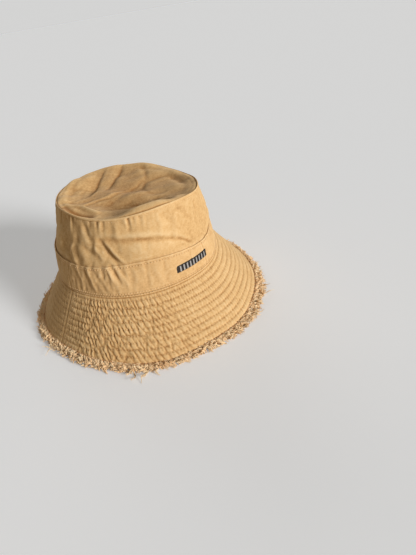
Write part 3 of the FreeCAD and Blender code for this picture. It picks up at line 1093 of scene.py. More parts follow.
# %% Model the lining and the sweatband
LINING_OUT = BRIM_OUT - CLOTH - GAP
SWEAT_OUT = LINING_OUT - LINING - GAP - CLOTH - GAP
(_, lining_high), (_, sweat_high) = box_mm("lining_side_front"), box_mm("sweatband")
lining = wall_piece("lining_side_cloth",
                    wall_profile(LINING_OUT, LINING, 0.0, lining_high[2] - SEAM_LEVEL, 0.3, 0.22,
                                 step=2.2, inner_step=2.2), wall_relief, cuts=5)
dress(lining, lining_paint, "lining_cloth", "lining_side_front", "lining_side_back")
# The tape's edge gets the same painted highlight and painted shade.
tape = wall_piece("sweatband_tape",
                  wall_profile(SWEAT_OUT, TAPE, 0.0, sweat_high[2] - SEAM_LEVEL, 0.6, 0.6,
                               step=2.2, inner_step=1.6), shared_relief, 0.4, cuts=5)
dress(tape, tape_paint, "sweatband_tape", "sweatband")

# %% [markdown]
# ## The folds of the tip
# The tip is an oval of twill that has sunk inside its seam and creased as it lies, while at the
# front and at the back it rolls up over its seam before it sinks. Its creases are listed as the
# wall's are, but their lines are points in mm on the tip, seen from above. One of them, the pocket,
# lies inside the roll at the wearer's right. How high the tip rolls is one more curve round it.

# %% List the creases of the tip
# The pocket's line is also where the tip is painted darker, as painted shade.
POCKET = [(-69, 16), (-68, 1), (-65, -12), (-61, -26)]
TIP_FOLDS = [
    ([(-49, 31), (-29, 33), (-4.4, 53), (20, 73)], 0.6, 1.7),
    ([(-44, 29), (-24, 29), (0, 50), (24, 71)], -0.5, 3.0),
    ([(-44, 36), (-24, 40), (-2, 58), (18, 74)], 2.4, 7.0),
    ([(-6, 30), (14, 43), (44, 63)], 0.7, 1.8), ([(-8, 28), (14, 44), (42, 63)], 2.0, 6.0),
    ([(-52, 7), (-31, 8), (-18, 2), (0, 4.5), (20, 4.5), (41, 12)], 0.7, 2.2),
    ([(-54, 10), (-34, 13), (-20, 7), (0, 9)], -0.8, 2.6),
    ([(-20, -4), (0, -2), (20, -2), (40, 4)], 2.4, 7.5),
    ([(54, 38), (48, 24), (40, 12)], 1.2, 3.8), ([(40, 11), (18, -7), (12, -27)], 0.7, 3.0),
    ([(12, -26), (15, -37), (24, -42)], 0.7, 2.6), ([(58, -12), (56, -30), (46, -52)], 2.0, 6.0),
    ([(30, -14), (44, -20), (54, -26)], -0.8, 4.4), ([(6, -42), (15, -60), (24, -72)], 2.2, 5.0),
    ([(-13, -29), (-10.6, -37), (-11.4, -45)], 1.2, 2.0), ([(-18, -20), (-8, -28)], 0.6, 2.6),
    ([(-69, 16), (-68, 1), (-65, -12), (-61, -28)], 5.0, 4.4),
    ([(-63, 21), (-58, 12), (-54, 2), (-53, -10), (-51, -24)], -3.4, 3.2),
    ([(-38, -6), (-30, -24), (-16, -38), (2, -46)], 4.6, 11.0),
    ([(-5, -56), (-9, -64), (-14, -74)], 0.9, 2.2), ([(2, -62), (-1, -70), (-3, -78)], -0.8, 2.2),
    ([(7, -64), (6, -72), (4, -80)], 0.8, 2.0), ([(-40, 60), (-20, 72), (0, 80)], 0.8, 4.4),
    ([(-58, 30), (-44, 21), (-30, 16)], 0.6, 3.4), ([(-32, 45), (-22, 52)], 0.4, 2.8),
    ([(60, 10), (56, 22), (50, 40)], 1.2, 3.6), ([(30, 46), (20, 56), (6, 66)], 0.5, 3.0),
]
crumpled = np.random.RandomState(77)
for _ in range(26):
    turned, reach = crumpled.uniform(0, 2 * math.pi), 62 * math.sqrt(crumpled.uniform(0.02, 1))
    start = np.array([reach * math.cos(turned), 1.2 * reach * math.sin(turned)])
    heading, size = crumpled.normal(0.6, 0.8), crumpled.uniform(6, 16)
    step = size * np.array([math.cos(heading), math.sin(heading)])
    bow = crumpled.normal(0, 0.16) * np.array([-step[1], step[0]])
    TIP_FOLDS.append(([tuple(start - step), tuple(start + bow), tuple(start + step)],
                      crumpled.uniform(0.1, 0.32), crumpled.uniform(2.0, 4.0)))
print("creases of the tip:", len(TIP_FOLDS))

# %% Fold the tip
ROLLS = [
    (-70, 0.6), (-55, 0.7), (-48, 1.8), (-40, 4.4), (-31, 5.8), (-18, 6.0), (-8, 5.0), (2, 2.6),
    (12, 0.9), (40, 0.6), (60, 1.6), (80, 3.2), (100, 4.6), (125, 4.6), (150, 5.2), (175, 4.4),
    (195, 5.0), (212, 3.6), (228, 1.6), (250, 1.8), (275, 0.8),
]
ROLLED = round_curve(ROLLS, 1, 4.0)
ROLL_WIDE, ROLL_FALL, BACK_FALL, SAG = 9, 8.5, 30, 5.0


def tip_relief(x, y):
    """How far the tip rises or sinks at a place on it, in mm."""
    x = np.where(np.hypot(x, y) < 0.01, 0.01, x)
    far, share = np.hypot(x, y), np.hypot(x / TIP_HALF[0], y / TIP_HALF[1])
    inset = np.clip(far / share - far, 0, None)
    turn = np.arctan2(x / TIP_HALF[0], -y / TIP_HALF[1])
    fall = ROLL_FALL + BACK_FALL * within(turn, 88, 206, 12)
    rise = np.sin(math.pi / 2 * np.clip(inset / ROLL_WIDE, 0, 1)) * (
        0.5 + 0.5 * np.cos(math.pi * np.clip((inset - ROLL_WIDE) / fall, 0, 1)))
    draw = np.random.RandomState(31)
    rolling = np.zeros_like(x)
    for _ in range(16):
        length, heading = draw.uniform(12, 46), draw.uniform(0, math.pi)
        rolling += np.cos(2 * math.pi / length * (x * math.cos(heading) + y * math.sin(heading))
                          + draw.uniform(0, 6.3)) * length / 46
    moved = 0.36 * rolling - SAG * (1 - np.clip(share, 0, 1) ** 3)
    for crease in TIP_FOLDS:
        moved = moved + fold(x, y, *crease)
    return moved * np.clip(inset / 6.5, 0, 1) + at_turn(ROLLED, turn) * rise


print("the tip rolls up by as much as", round(ROLLED.max(), 1), "mm")

# %% [markdown]
# ## The crown's tip
# A disc of rings would pinch at its middle, so the tip starts as a square grid whose sides are
# pushed out to the oval, which keeps its faces even. Its edge is extruded down into the seam, and
# Solidify makes it cloth. The lining's tip is the same with a coarser grid.

# %% Push a grid out to an oval
EDGE_DROP = [(0.6, -0.15), (0.5, -0.35), (0.35, -0.6), (0.15, -1.5), (0.0, -5.5)]
EDGE_GROWN = 1.6


def oval_sheet(name, half, cells):
    """A square grid pushed out to an oval, with its edge extruded in steps of (out, down)."""
    bpy.ops.object.select_all(action="DESELECT")
    bpy.ops.mesh.primitive_grid_add(x_subdivisions=cells, y_subdivisions=cells, size=2)
    piece = bpy.context.object
    piece.name = name
    square = read_points(piece)
    x = square[:, 0] * np.sqrt(1 - square[:, 1] ** 2 / 2)
    y = square[:, 1] * np.sqrt(1 - square[:, 0] ** 2 / 2)
    write_points(piece, np.stack([x * half[0], y * half[1], 0 * x], -1))
    pick(piece, points=np.abs(square[:, :2]).max(1) > 0.9999)
    enter(piece)
    bpy.ops.mesh.select_mode(type="VERT")
    for grown, lower in EDGE_DROP:
        bpy.ops.mesh.extrude_edges_move(TRANSFORM_OT_translate={"value": (0, 0, lower * MM)})
        ratio = [(side + grown) / side for side in half]
        bpy.ops.transform.resize(value=(ratio[0], ratio[1], 1), center_override=(0, 0, 0))
        half = [side + grown for side in half]
    bpy.ops.mesh.select_all(action="SELECT")
    bpy.ops.mesh.normals_make_consistent(inside=False)
    leave()
    return piece


print("the tip's edge goes down by", round(-sum(lower for _, lower in EDGE_DROP), 2), "mm")


# %% Model the tip and the lining's tip
def tip_piece(name, edge_out, thick, level, cells, seam_shade):
    """A tip of cloth: folded, settled, with its allowance turned down and its thickness."""
    piece = oval_sheet(name, TIP_HALF + edge_out - EDGE_GROWN, cells)
    x, y, z = read_points(piece).T / MM
    turn = np.arctan2(x / TIP_HALF[0], -y / TIP_HALF[1])
    share = np.clip(np.hypot(x / TIP_HALF[0], y / TIP_HALF[1]), 0, 1)
    top = np.full_like(x, CROWN_HIGH)
    out, rise = (settled(turn, top, column) * share ** power
                 for column, power in ((1, 1.0), (2, 2.2)))
    out = out + wall_relief(turn, level + z) * (z < -0.4)
    folded = tip_relief(x, y)
    write_points(piece, np.stack([x + out * np.sin(turn), y - out * np.cos(turn),
                                  SEAM_LEVEL + level + z + rise + folded], -1))
    near, far = (sum(tip_relief(x + a * step, y + b * step)
                     for a, b in ((1, 0), (-1, 0), (0, 1), (0, -1))) / 4 for step in (1.6, 4.5))
    # The ridges of the creases are painted paler, as rubbed wear and a painted highlight, and their
    # hollows darker, as painted shade.
    worn = np.clip(1.8 * (folded - near) + 0.5 * (folded - far), DEEPEST, PALEST)
    pocket, _, _ = beside(x, y, POCKET)
    # Painted shade: darker towards the sunken middle, in the pocket and on the allowance turned
    # down into the seam, and a little darker all over.
    tip_shade = (0.8 * (1 - share ** 2) + 1.3 * np.exp(-(pocket / 3.6) ** 2)
              + seam_shade * np.clip(-z / 0.5, 0, 1))
    keep(piece, "worn", worn - tip_shade - 0.2)
    write_uv(piece, np.stack([x, y], -1)[face_corners(piece)])
    wall = piece.modifiers.new("thickness", "SOLIDIFY")
    wall.thickness, wall.offset = thick * MM, -1
    bpy.context.view_layer.objects.active = piece
    bpy.ops.object.modifier_apply(modifier=wall.name)
    return piece


tip = tip_piece("crown_tip_cloth", -CLOTH - GAP, CLOTH, CROWN_HIGH, 150, 2.0)
dress(tip, twill, "twill", "crown_tip")
lining_tip = tip_piece("lining_tip_cloth", LINING_OUT - LINING - GAP, LINING,
                       lining_high[2] - SEAM_LEVEL, 80, 0.3)
dress(lining_tip, lining_paint, "lining_cloth", "lining_tip")

# %% [markdown]
# ## The quilted brim
# The brim is two cloths with an interlining between them, sewn together in ten rows. Each row draws
# the cloth down, it swells between the rows, and washing has crumpled it: into small puffed cells
# with slanting creases over the wearer's right, and hardly at all over the left of the front, where
# the rows lie as smooth round ridges. The same folds go through the upper and the lower cloth. Two
# curves round the hat say how crumpled and how ridged it is.

# %% Say where the brim is crumpled
CRUMPLED = [
    (-120, 0.35), (-104, 0.3), (-95, 0.2), (-84, 0.16), (-78, 0.35), (-71, 0.85), (-63, 1),
    (-45, 1), (-32, 0.9), (-22, 0.62), (-10, 0.34), (4, 0.14), (30, 0.05), (60, 0.06), (85, 0.15),
    (100, 0.3), (125, 0.6), (150, 0.4), (175, 0.7), (205, 0.45), (228, 0.6),
]
RIDGED = [
    (-120, 0.3), (-98, 0.25), (-90, 0.5), (-82, 1.1), (-74, 1.0), (-62, 0.45), (-40, 0.45),
    (-20, 0.6), (0, 0.8), (30, 0.8), (60, 0.65), (90, 0.8), (130, 0.6), (180, 0.7), (220, 0.6),
]
CRUMPLED, RIDGED = (round_curve(table, 1, 4.0) for table in (CRUMPLED, RIDGED))
print("the brim is crumpled most at a turn of", FINE[CRUMPLED.argmax()] - 360, "degrees")


# %% Puff up cells between creases
def puffed(turn, along, seed, wide, tall, slope, crease):
    """Cells of about that size in slanting columns: 0 in the creases between them, and near 1."""
    draw = np.random.RandomState(seed)
    columns, rows = round(2 * math.pi * BRIM_ROUND / wide), math.ceil(BRIM_WIDE / tall) + 4
    middles = draw.uniform(0.1, 0.9, (2, columns, rows))
    tilts = draw.normal(0, 1, (2, columns, rows))
    across = (turn - slope * along / BRIM_ROUND) / (2 * math.pi) * columns
    down = along / tall + 2
    nearest, second = (np.full(turn.shape, 1e9) for _ in range(2))
    tilted = np.zeros_like(turn)
    for column in (-1, 0, 1):
        for row in (-1, 0, 1):
            own_column, own_row = np.floor(across) + column, np.floor(down) + row
            index = (own_column.astype(int) % columns, np.clip(own_row, 0, rows - 1).astype(int))
            off_x = (across - own_column - middles[0][index]) * wide
            off_y = (down - own_row - middles[1][index]) * wide
            far = np.hypot(off_x, off_y)
            closer = far < nearest
            second = np.where(closer, nearest, np.minimum(second, far))
            nearest = np.where(closer, far, nearest)
            tilt = (tilts[0][index] * off_x + tilts[1][index] * off_y) / wide
            tilted = np.where(closer, tilt, tilted)
    puff = np.tanh((second - nearest) / crease)
    return puff * (1 + 0.45 * np.clip(tilted, -1.2, 1.2))


print("cells are puffed in columns that slant down the brim")


# %% Find the rows of the quilting
def channel_of(along):
    """Which row a point lies in, and its share of the way across it."""
    along = np.clip(along, 0, BRIM_WIDE - 1e-6)
    number = np.floor(along / ROW)
    return number.astype(int), along / ROW - number


print("the rows are", ROW, "mm apart")

# %% Fold the brim
PUCKER_LONG, PUCKER_SHORT, PUCKER_SEED, SWELL_SEED = 5.2, 3.3, 44, 45
SEAM_CALM, TOPSTITCH = 5.5, 5.4
LOWEST, HIGHEST = -0.45, 2.6


def brim_folds(turn, along):
    """How far the quilted face of the brim stands proud, in mm."""
    number, share = channel_of(along)
    crumple, ridge = (at_turn(line, turn) for line in (CRUMPLED, RIDGED))
    hump = np.sin(math.pi * share) ** 0.75
    row = np.rint(along / ROW).astype(int)
    from_row = np.minimum(share, 1 - share) * ROW
    phases = np.random.RandomState(PUCKER_SEED).uniform(0, 6.3, (2, ROWS + 1))
    pucker = (np.cos(turn * round(2 * math.pi * BRIM_ROUND / PUCKER_SHORT) + phases[0][row])
              + 0.7 * np.cos(turn * round(2 * math.pi * BRIM_ROUND / PUCKER_LONG)
                             + phases[1][row]))
    uneven = 1 + 0.22 * ripples(turn, number * ROW, SWELL_SEED, (16, 40), radius=BRIM_ROUND)
    held = np.clip((along - 1) / 9, 0.25, 1)
    moved = ridge * hump * np.clip(uneven, 0.4, 1.6)
    cells = (1.25 * puffed(turn, along, 41, 5.4, 14.5, 0.46, 1.8)
             + 0.4 * puffed(turn, along, 42, 3.4, 7.0, 0.2, 1.3))
    moved = moved + held * crumple * (cells - 0.3)
    moved = moved + (0.11 + 0.16 * (1 - hump)) * pucker * (0.4 + 0.6 * ridge)
    moved = moved - (0.26 + 0.22 * ridge) * np.exp(-(from_row / 0.6) ** 2)
    for seam in SIDE_SEAMS:
        off = np.abs(near_turn(turn, seam, FOOT_HALF[0] + along * RUN))
        calm = np.exp(-(off / SEAM_CALM) ** 4)
        moved = moved * (1 - 0.6 * calm) + calm * 0.35
        moved = (moved - 0.7 * np.exp(-(off / 0.7) ** 2)
                 - 0.3 * np.exp(-((off - TOPSTITCH) / 0.7) ** 2))
    moved = (moved + 0.75 * np.exp(-((along - 1.4) / 0.9) ** 2)
             - 0.55 * np.exp(-((along - 3.0) / 0.6) ** 2))
    return np.clip(moved * np.clip(along / 1.2, 0.2, 1), LOWEST, HIGHEST)


brim_relief = Relief(brim_folds, 0, BRIM_WIDE, rub=2.3)
print("brim folds from", round(brim_relief.heights.min(), 2), "to",
      round(brim_relief.heights.max(), 2), "mm")

# %% [markdown]
# ## The two cloths of the brim
# Each cloth is one sleeve: its quilted face, its rim, its plain back, and the allowance that stands
# up inside the crown. It is cut in two at the side seams, as the real one is sewn from a front and
# a back panel. The rim and the foot are darker, because they lie in the shade of the yarns and of
# the band.

# %% Draw the profile of a brim cloth
FLANGE, RIM_BULGE = 7.9, 0.5


def brim_profile(face, back_face, flange):
    """Rings of a brim cloth: its quilted face, its rim, its plain back, and its upright flange."""
    sign = 1 if face > back_face else -1
    rings = [(*on_brim(along, face), 1) for along in np.arange(0.4, BRIM_WIDE, 0.9)]
    middle, thick = (face + back_face) / 2, abs(face - back_face)
    rings += [(*on_brim(BRIM_WIDE + RIM_BULGE * math.cos(a),
                        middle + sign * thick / 2 * math.sin(a)), 0.5 + 0.5 * math.sin(a))
              for a in np.radians([60, 20, -20, -60])]
    rings += [(*on_brim(along, back_face), 0) for along in np.arange(BRIM_WIDE - 1, 3, -7.5)]
    first, last = (flange - CLOTH, flange) if sign > 0 else (flange, flange - CLOTH)
    return rings + [(first, 0.4, 0), (first, FLANGE, 0), (last, FLANGE, 0), (last, 0.6, 0)]


STIFFENER_DEPTH = CLOTH + GAP
UNDER_DEPTH = STIFFENER_DEPTH + FELT + GAP
print("the lower cloth lies", round(UNDER_DEPTH, 2), "mm under the brim's face")


# %% Model the two cloths of the brim
def brim_piece(name, profile, strength):
    """A cloth of the brim, quilted upwards, or downwards if the strength is negative."""
    piece, turn, out, up, quilted = sleeve(name, profile, cuts=11)
    flat = up < 0.05
    along = (out - BRIM_OUT) * RUN - (up - BRIM_UP) * FALL
    along = np.where(flat, np.clip(along, 0, BRIM_WIDE), 0)
    proud = brim_relief(turn, along) * quilted * strength * flat
    wall = shared_relief(turn, np.clip(up, 0, None)) * ~flat
    write_points(piece, place(turn, out + proud * FALL + wall, up + proud * RUN))
    rim = np.clip((along - BRIM_WIDE + 0.9) / 0.9, 0, 1)
    foot = np.clip(1 - along, 0, 1)
    # The brim is painted darker where it is crumpled, as painted shade in its crumples, and its rim
    # and foot darker still, as painted shade.
    worn = (brim_relief.worn(turn, along) - 0.35 * at_turn(CRUMPLED, turn)) * quilted
    keep(piece, "worn", (worn - 1.9 * rim - 1.6 * foot) * flat)
    unroll(piece, turn, np.where(flat, -along, up), BRIM_ROUND)
    return piece


PARTS = ("front", "back")
brims = {"upper": brim_piece("brim_upper", brim_profile(0.0, -CLOTH, BRIM_OUT), 1),
         "under": brim_piece("brim_under", brim_profile(-UNDER_DEPTH - CLOTH, -UNDER_DEPTH,
                                                        LINING_OUT - LINING - GAP), -0.7)}
for side, brim in brims.items():
    halves = cut_at_sides(brim, [f"brim_{side}_{part}_cloth" for part in PARTS])
    for half, part in zip(halves, PARTS):
        dress(half, twill, "twill", f"brim_{side}_{part}")

# %% [markdown]
# ## The interlining
# A plain stiff sheet lies between the two cloths and shows only as a pale line at the rim. It
# follows the brim's settled shape without the quilting.

# %% Model the interlining
down_brim = [0.5, 24, 48, BRIM_WIDE - 0.4]
felt_rings = ([(along, STIFFENER_DEPTH) for along in down_brim]
              + [(along, STIFFENER_DEPTH + FELT) for along in reversed(down_brim)])
felt, turn, out, up, _ = sleeve(
    "brim_interlining", [(*on_brim(along, -depth), 0) for along, depth in felt_rings], cuts=4)
write_points(felt, place(turn, out, up))
keep(felt, "worn", 0 * turn)
unroll(felt, turn, out)
dress(felt, felt_paint, "interlining", "brim_stiffener_front", "brim_stiffener_back")

# %% [markdown]
# ## Stitches
# A row of stitches is one short thread, modelled once from a small ball, repeated with an Array and
# laid along its seam with a Curve modifier. The seam's line comes from the same folds as the cloth,
# so the stitches sit in it. Modifiers are applied, and the rows of one seam are joined.

# %% Lay a line for a row of stitches
STITCH_SHARE = 0.66


def sewing_line(name, points_mm, closed):
    """A curve through points in millimetres, as an object to lay stitches on, and its length."""
    line = bpy.data.curves.new(name + "_line", "CURVE")
    line.dimensions = "3D"
    spline = line.splines.new("POLY")
    spline.points.add(len(points_mm) - 1)
    spline.points.foreach_set("co", np.column_stack([points_mm * MM,
                                                     np.ones(len(points_mm))]).ravel())
    spline.use_cyclic_u = closed
    path = bpy.data.objects.new(name + "_line", line)
    bpy.context.scene.collection.objects.link(path)
    loop = np.vstack([points_mm, points_mm[:1]]) if closed else points_mm
    return path, np.linalg.norm(np.diff(loop, axis=0), axis=1).sum()


print("a stitch takes", STITCH_SHARE, "of its pitch, and the gap takes the rest")


# %% Repeat one stitch along its line
def stitch_row(name, points_mm, closed=True, thick=THREAD):
    """A row of stitches along points in millimetres."""
    path, length = sewing_line(name, points_mm, closed)
    count = max(round(length / STITCH), 1)
    pitch = length / count
    bpy.ops.object.select_all(action="DESELECT")
    bpy.ops.mesh.primitive_uv_sphere_add(segments=6, ring_count=4, radius=0.5,
                                         rotation=(0, math.radians(90), 0))
    thread = bpy.context.object
    thread.name = name
    bpy.ops.object.transform_apply(location=False, rotation=True, scale=False)
    enter(thread)
    bpy.ops.mesh.select_all(action="SELECT")
    bpy.ops.transform.resize(value=(pitch * STITCH_SHARE * MM, thick * MM, thick * MM))
    bpy.ops.transform.translate(value=(pitch / 2 * MM, 0, 0))
    leave()
    for kind, settings in (("ARRAY", {"count": count, "use_relative_offset": False,
                                      "use_constant_offset": True,
                                      "constant_offset_displace": (pitch * MM, 0, 0)}),
                           ("CURVE", {"object": path, "deform_axis": "POS_X"})):
        modifier = thread.modifiers.new(kind, kind)
        for key, value in settings.items():
            setattr(modifier, key, value)
        bpy.ops.object.modifier_apply(modifier=modifier.name)
    bpy.data.objects.remove(path)
    return thread


print("a stitch is about", STITCH, "mm long with its gap")


# %% Join and finish the rows of one seam
def joined(name, pieces):
    """Several pieces made one, with the name of the whole."""
    bpy.ops.object.select_all(action="DESELECT")
    for piece in pieces:
        piece.select_set(True)
    bpy.context.view_layer.objects.active = pieces[0]
    if len(pieces) > 1:
        bpy.ops.object.join()
    pieces[0].name = name
    return pieces[0]


def dress_thread(piece, slot="twill"):
    """Finish a piece of stitching, with an uneven wear that comes from where each point is."""
    points = read_points(piece)
    keep(piece, "worn", 0.5 + 0.4 * np.sin(points[:, 0] * 9000) * np.sin(points[:, 1] * 7000))
    dress(piece, thread_paint, slot)


print("the stitches are finished as", thread_paint.name)

# %% Find the lines to stitch along
TURNS = np.radians(FINE)


def wall_line(up, out, relief):
    """A line round the wall at a height, and proud of the folded cloth."""
    level = np.full_like(TURNS, up)
    return place(TURNS, out + relief(TURNS, level), level)


def brim_line(along, depth, quilting):
    """A line round the brim, at a depth under its face and moved by a share of its quilting."""
    level = np.full_like(TURNS, along)
    out, up = on_brim(level, quilting * brim_relief(TURNS, level) - depth)
    return place(TURNS, out, up)


print("a line round the hat has", len(TURNS), "points")

# %% Stitch the band
THIN, ON_BAND = 0.5, 0.36
band_rows = [stitch_row(f"band_row_{number}", wall_line(level, BAND_OUT + ON_BAND, band_relief))
             for number, level in enumerate(BAND_ROWS)]
seam_levels = np.linspace(1, BAND_HIGH - 1, 40)
for seam, away in ((BAND_SEAM, BESIDE_SEAM), (SIDE_SEAMS[0], -BESIDE_SEAM),
                   (SIDE_SEAMS[1], BESIDE_SEAM)):
    turn = np.full_like(seam_levels, math.radians(seam) + away / WALL_ROUND)
    seam_line = place(turn, BAND_OUT + band_relief(turn, seam_levels), seam_levels)
    band_rows.append(stitch_row(f"seam_row_{len(band_rows)}", seam_line, closed=False,
                                thick=THIN))
dress_thread(joined("band_stitches", band_rows), "band_twill")

# %% Stitch the brim
quilting_rows = ([(1.4, 0.8)] + [(ROW * number - 0.02, 0.55) for number in range(1, ROWS)]
                 + [(BRIM_WIDE - 1.2, THIN)])
brim_rows = [stitch_row(f"brim_row_{number}", brim_line(level, -0.05 - thick / 3, 1.0),
                        thick=thick) for number, (level, thick) in enumerate(quilting_rows)]
side_levels = np.linspace(2, BRIM_WIDE - 2, 80)
for seam in SIDE_SEAMS:
    for away in (-TOPSTITCH, TOPSTITCH):
        turn = math.radians(seam) + away / (FOOT_HALF[0] + side_levels * RUN)
        out, up = on_brim(side_levels, brim_relief(turn, side_levels) + 0.15)
        brim_rows.append(stitch_row(f"side_row_{len(brim_rows)}", place(turn, out, up),
                                    closed=False, thick=THIN))
dress_thread(joined("brim_stitches", brim_rows))
dress_thread(joined("brim_under_stitches", [
    stitch_row(f"under_row_{number}", brim_line(ROW * number, UNDER_DEPTH + CLOTH + 0.1, -0.7),
               thick=THIN) for number in range(1, ROWS)]))

# %% Stitch the crown seam and the sweatband
TAPE_ROW = 26.5
dress_thread(stitch_row("crown_seam_stitches", wall_line(CROWN_ROW, 0.1, wall_relief),
                        thick=THIN))
dress_thread(stitch_row("sweatband_stitches", wall_line(TAPE_ROW, SWEAT_OUT - 1.1, shared_relief)),
             "sweatband_tape")

# %% [markdown]
# ## The frayed edge
# Both cloths of the brim end in loose yarns. A yarn is a thin tube along a short curve: it leaves
# the rim, falls to the table and lies on it. After a few washes the yarns twist together in locks,
# so a lock is modelled: several yarns that leave the rim side by side and wind round one curling
# line. Short fuzz fills the gaps between locks, and a few long yarns stray. All the yarns of one
# cloth are the splines of one curve, made a mesh. A lean says how far a yarn goes sideways for each
# mm of its length, and a lift how many mm its end rises.

# %% Find where the yarns leave the rim
STEPS = np.linspace(0, 1, 12)
RIM_TURNS = np.radians(np.arange(-90, 451))
HIDDEN = 1.3
UPPER_DEPTH, LOWER_DEPTH = 0.35, UNDER_DEPTH + 0.35


def rim_line(depth):
    """The line that the yarns leave from: inside the rim, at a depth under the brim's face."""
    out, up = on_brim(np.full_like(RIM_TURNS, BRIM_WIDE - HIDDEN), -depth)
    return place(RIM_TURNS, out, up)


print("a yarn is drawn with", len(STEPS), "points")

# %% Twist yarns into a lock
GATHER, DROP, STRAY_STEP, FLOOR_CLEAR = 2.6, 6.5, 0.10, 1.2


def lock(draw, rim, turn, count, base, length, lean, lift, curl, ply, radius, rest):
    """The points of some yarns that leave the rim over a base in mm and twist round one line."""
    root = np.array([np.interp(turn, RIM_TURNS, rim[:, axis]) for axis in range(3)])
    outward = np.array([math.sin(turn), -math.cos(turn), 0])
    sideways = np.array([math.cos(turn), math.sin(turn), 0])
    share = STEPS * draw.uniform(0.72, 1.08, (count, 1))
    run = share * length
    phase, bends = draw.uniform(0, 6.3), draw.uniform(4, 11)
    swing = curl * (np.sin(phase + bends * share) - math.sin(phase)) + lean * run
    bob = 0.8 * curl * np.sin(1.9 + phase + 1.2 * bends * share) * np.minimum(share * 2, 1)
    gathered = 1 - np.exp(-(run / GATHER) ** 2)
    spin = (2 * math.pi * np.arange(count)[:, None] / count + draw.uniform(0, 6.3)
            + draw.choice((-1, 1)) * draw.uniform(3.5, 8) * share)
    around = ply * gathered * (1 + 0.6 * share)
    spread = ((np.arange(count)[:, None] + 0.5) / count - 0.5) * base * (1 - gathered)
    loose_ends = draw.normal(0, STRAY_STEP, (2, count, len(STEPS))).cumsum(2) * share
    high = (rest + (root[2] - rest) * np.exp(-(run / DROP) ** 2)
            + (lift * share ** 1.5 + bob) * gathered)
    high = high + around * np.sin(spin) + loose_ends[0]
    aside = swing + spread + around * np.cos(spin) + loose_ends[1]
    out = run * math.sqrt(max(1 - min(abs(lean), 0.9) ** 2, 0.25))
    points = root + out[..., None] * outward + aside[..., None] * sideways
    points[..., 2] = np.maximum(high, radius * FLOOR_CLEAR)
    return points


print("a lock gathers within", GATHER, "mm of the rim")

# %% List the long yarns, as turn, length, lean, lift and count
LONG_YARNS = [
    (27, 28, 0.6, 3.0, 3), (36, 20, 0.1, 2.0, 2), (6, 29, 0.85, 4.0, 3), (10, 26, 0.75, 3.5, 3),
    (-49, 16, 0.3, 0.8, 6), (-38, 18, 0.3, 0.8, 6), (5, 18, -0.4, 2.0, 2),
    (-40, 24, -0.35, 0.8, 5), (-42, 19, 0.1, 0.6, 6), (-46, 21, 0.1, 0.6, 4),
    (-36, 20, 0.6, 2.5, 2), (-33, 17, 0.5, 1.0, 2), (-26, 15, 0.7, 2.0, 2),
    (-14, 15, 0.5, 2.0, 2), (-3, 17, 0.6, 3.0, 3), (56, 15, 0.4, 2.0, 2), (46, 14, -0.3, 3.0, 2),
    (-124, 20, 0.5, 3.0, 2), (-130, 22, 0.2, 4.0, 3), (-134, 17, -0.3, 2.5, 2),
    (120, 18, 0.4, 1.0, 2), (152, 17, -0.4, 1.5, 3), (170, 20, -0.5, 1.0, 2),
    (205, 16, 0.4, 2.0, 3),
]
print("long strays:", sum(row[-1] for row in LONG_YARNS))

# %% Say how the fringe is made up
LOCK_BASE, LOCK_LENGTH, LOCK_OVERLAP = (1.8, 3.4), (8.5, 12.5), 0.62
YARN_RADIUS, FUZZ_RADIUS, LONG_RADIUS, LONG_BASE, LONG_CURL, LONG_PLY = (
    (0.44, 0.62), (0.28, 0.42), 0.34, 1.5, 1.8, 0.4)
YARN_TONE, FUZZ_TONE = 0.1, 0.4


def fullness(turn):
    """How long the fringe is at a turn in degrees: full left of the front, and thin beyond it."""
    return (1 + 0.36 * math.exp(-((turn - 20) / 24) ** 2)
            - 0.12 * math.exp(-((turn + 22) / 9) ** 2)
            - 0.25 * math.exp(-((turn - 72) / 18) ** 2))


print("the fringe is", round(fullness(20), 2), "times as long as elsewhere left of the front")


# %% Fill the rim with locks
def fringe_yarns(seed, depth, low, high):
    """The yarns of one cloth between two turns in degrees, with a radius and a tone for each."""
    draw = np.random.RandomState(seed)
    rim, rest = rim_line(depth), 1.5 if depth == UPPER_DEPTH else 0.6
    found, turn = [], low
    while turn < high:
        base, full = draw.uniform(*LOCK_BASE), fullness(turn)
        length = draw.uniform(*LOCK_LENGTH) * full
        lean, lift = draw.normal(0.1, 0.42), abs(draw.normal(0.6, 1.5))
        curl = draw.uniform(0.9, 2.1) * (1.6 if draw.uniform() < 0.25 else 1)
        radius, tone = draw.uniform(*YARN_RADIUS), draw.normal(0, 0.3)
        count = draw.randint(4, 7)
        found.append((lock(draw, rim, math.radians(turn), count, base, length, lean, lift, curl,
                           draw.uniform(0.5, 0.95), radius, rest), radius, tone + YARN_TONE))
        for _ in range(draw.randint(1, 4)):
            radius = draw.uniform(*FUZZ_RADIUS)
            own = math.radians(turn + draw.uniform(0, 1.2))
            found.append((lock(draw, rim, own, 1, 0, draw.uniform(4, 11) * full,
                               draw.normal(0, 0.7), draw.uniform(-0.3, 3.2),
                               draw.uniform(0.8, 2.6), 0, radius, rest), radius, tone + FUZZ_TONE))
        turn += math.degrees(base * LOCK_OVERLAP / RIM_ROUND)
    for turn, length, lean, lift, count in LONG_YARNS if depth == UPPER_DEPTH else []:
        if low <= turn < high or low <= turn + 360 < high:
            found.append((lock(draw, rim, math.radians(turn), count, LONG_BASE, length, lean, lift,
                               LONG_CURL, LONG_PLY, LONG_RADIUS, rest), LONG_RADIUS, FUZZ_TONE))
    points = np.concatenate([yarns for yarns, _, _ in found])
    radii, tones = (np.concatenate([np.full(len(row[0]), row[column]) for row in found])
                    for column in (1, 2))
    return points, radii, tones


print("a lock is from", LOCK_LENGTH[0], "to", LOCK_LENGTH[1], "mm long where the fringe is even")

# %% Make yarns a mesh
THICK_ROOT, THIN_TIP = 1.1, 0.75


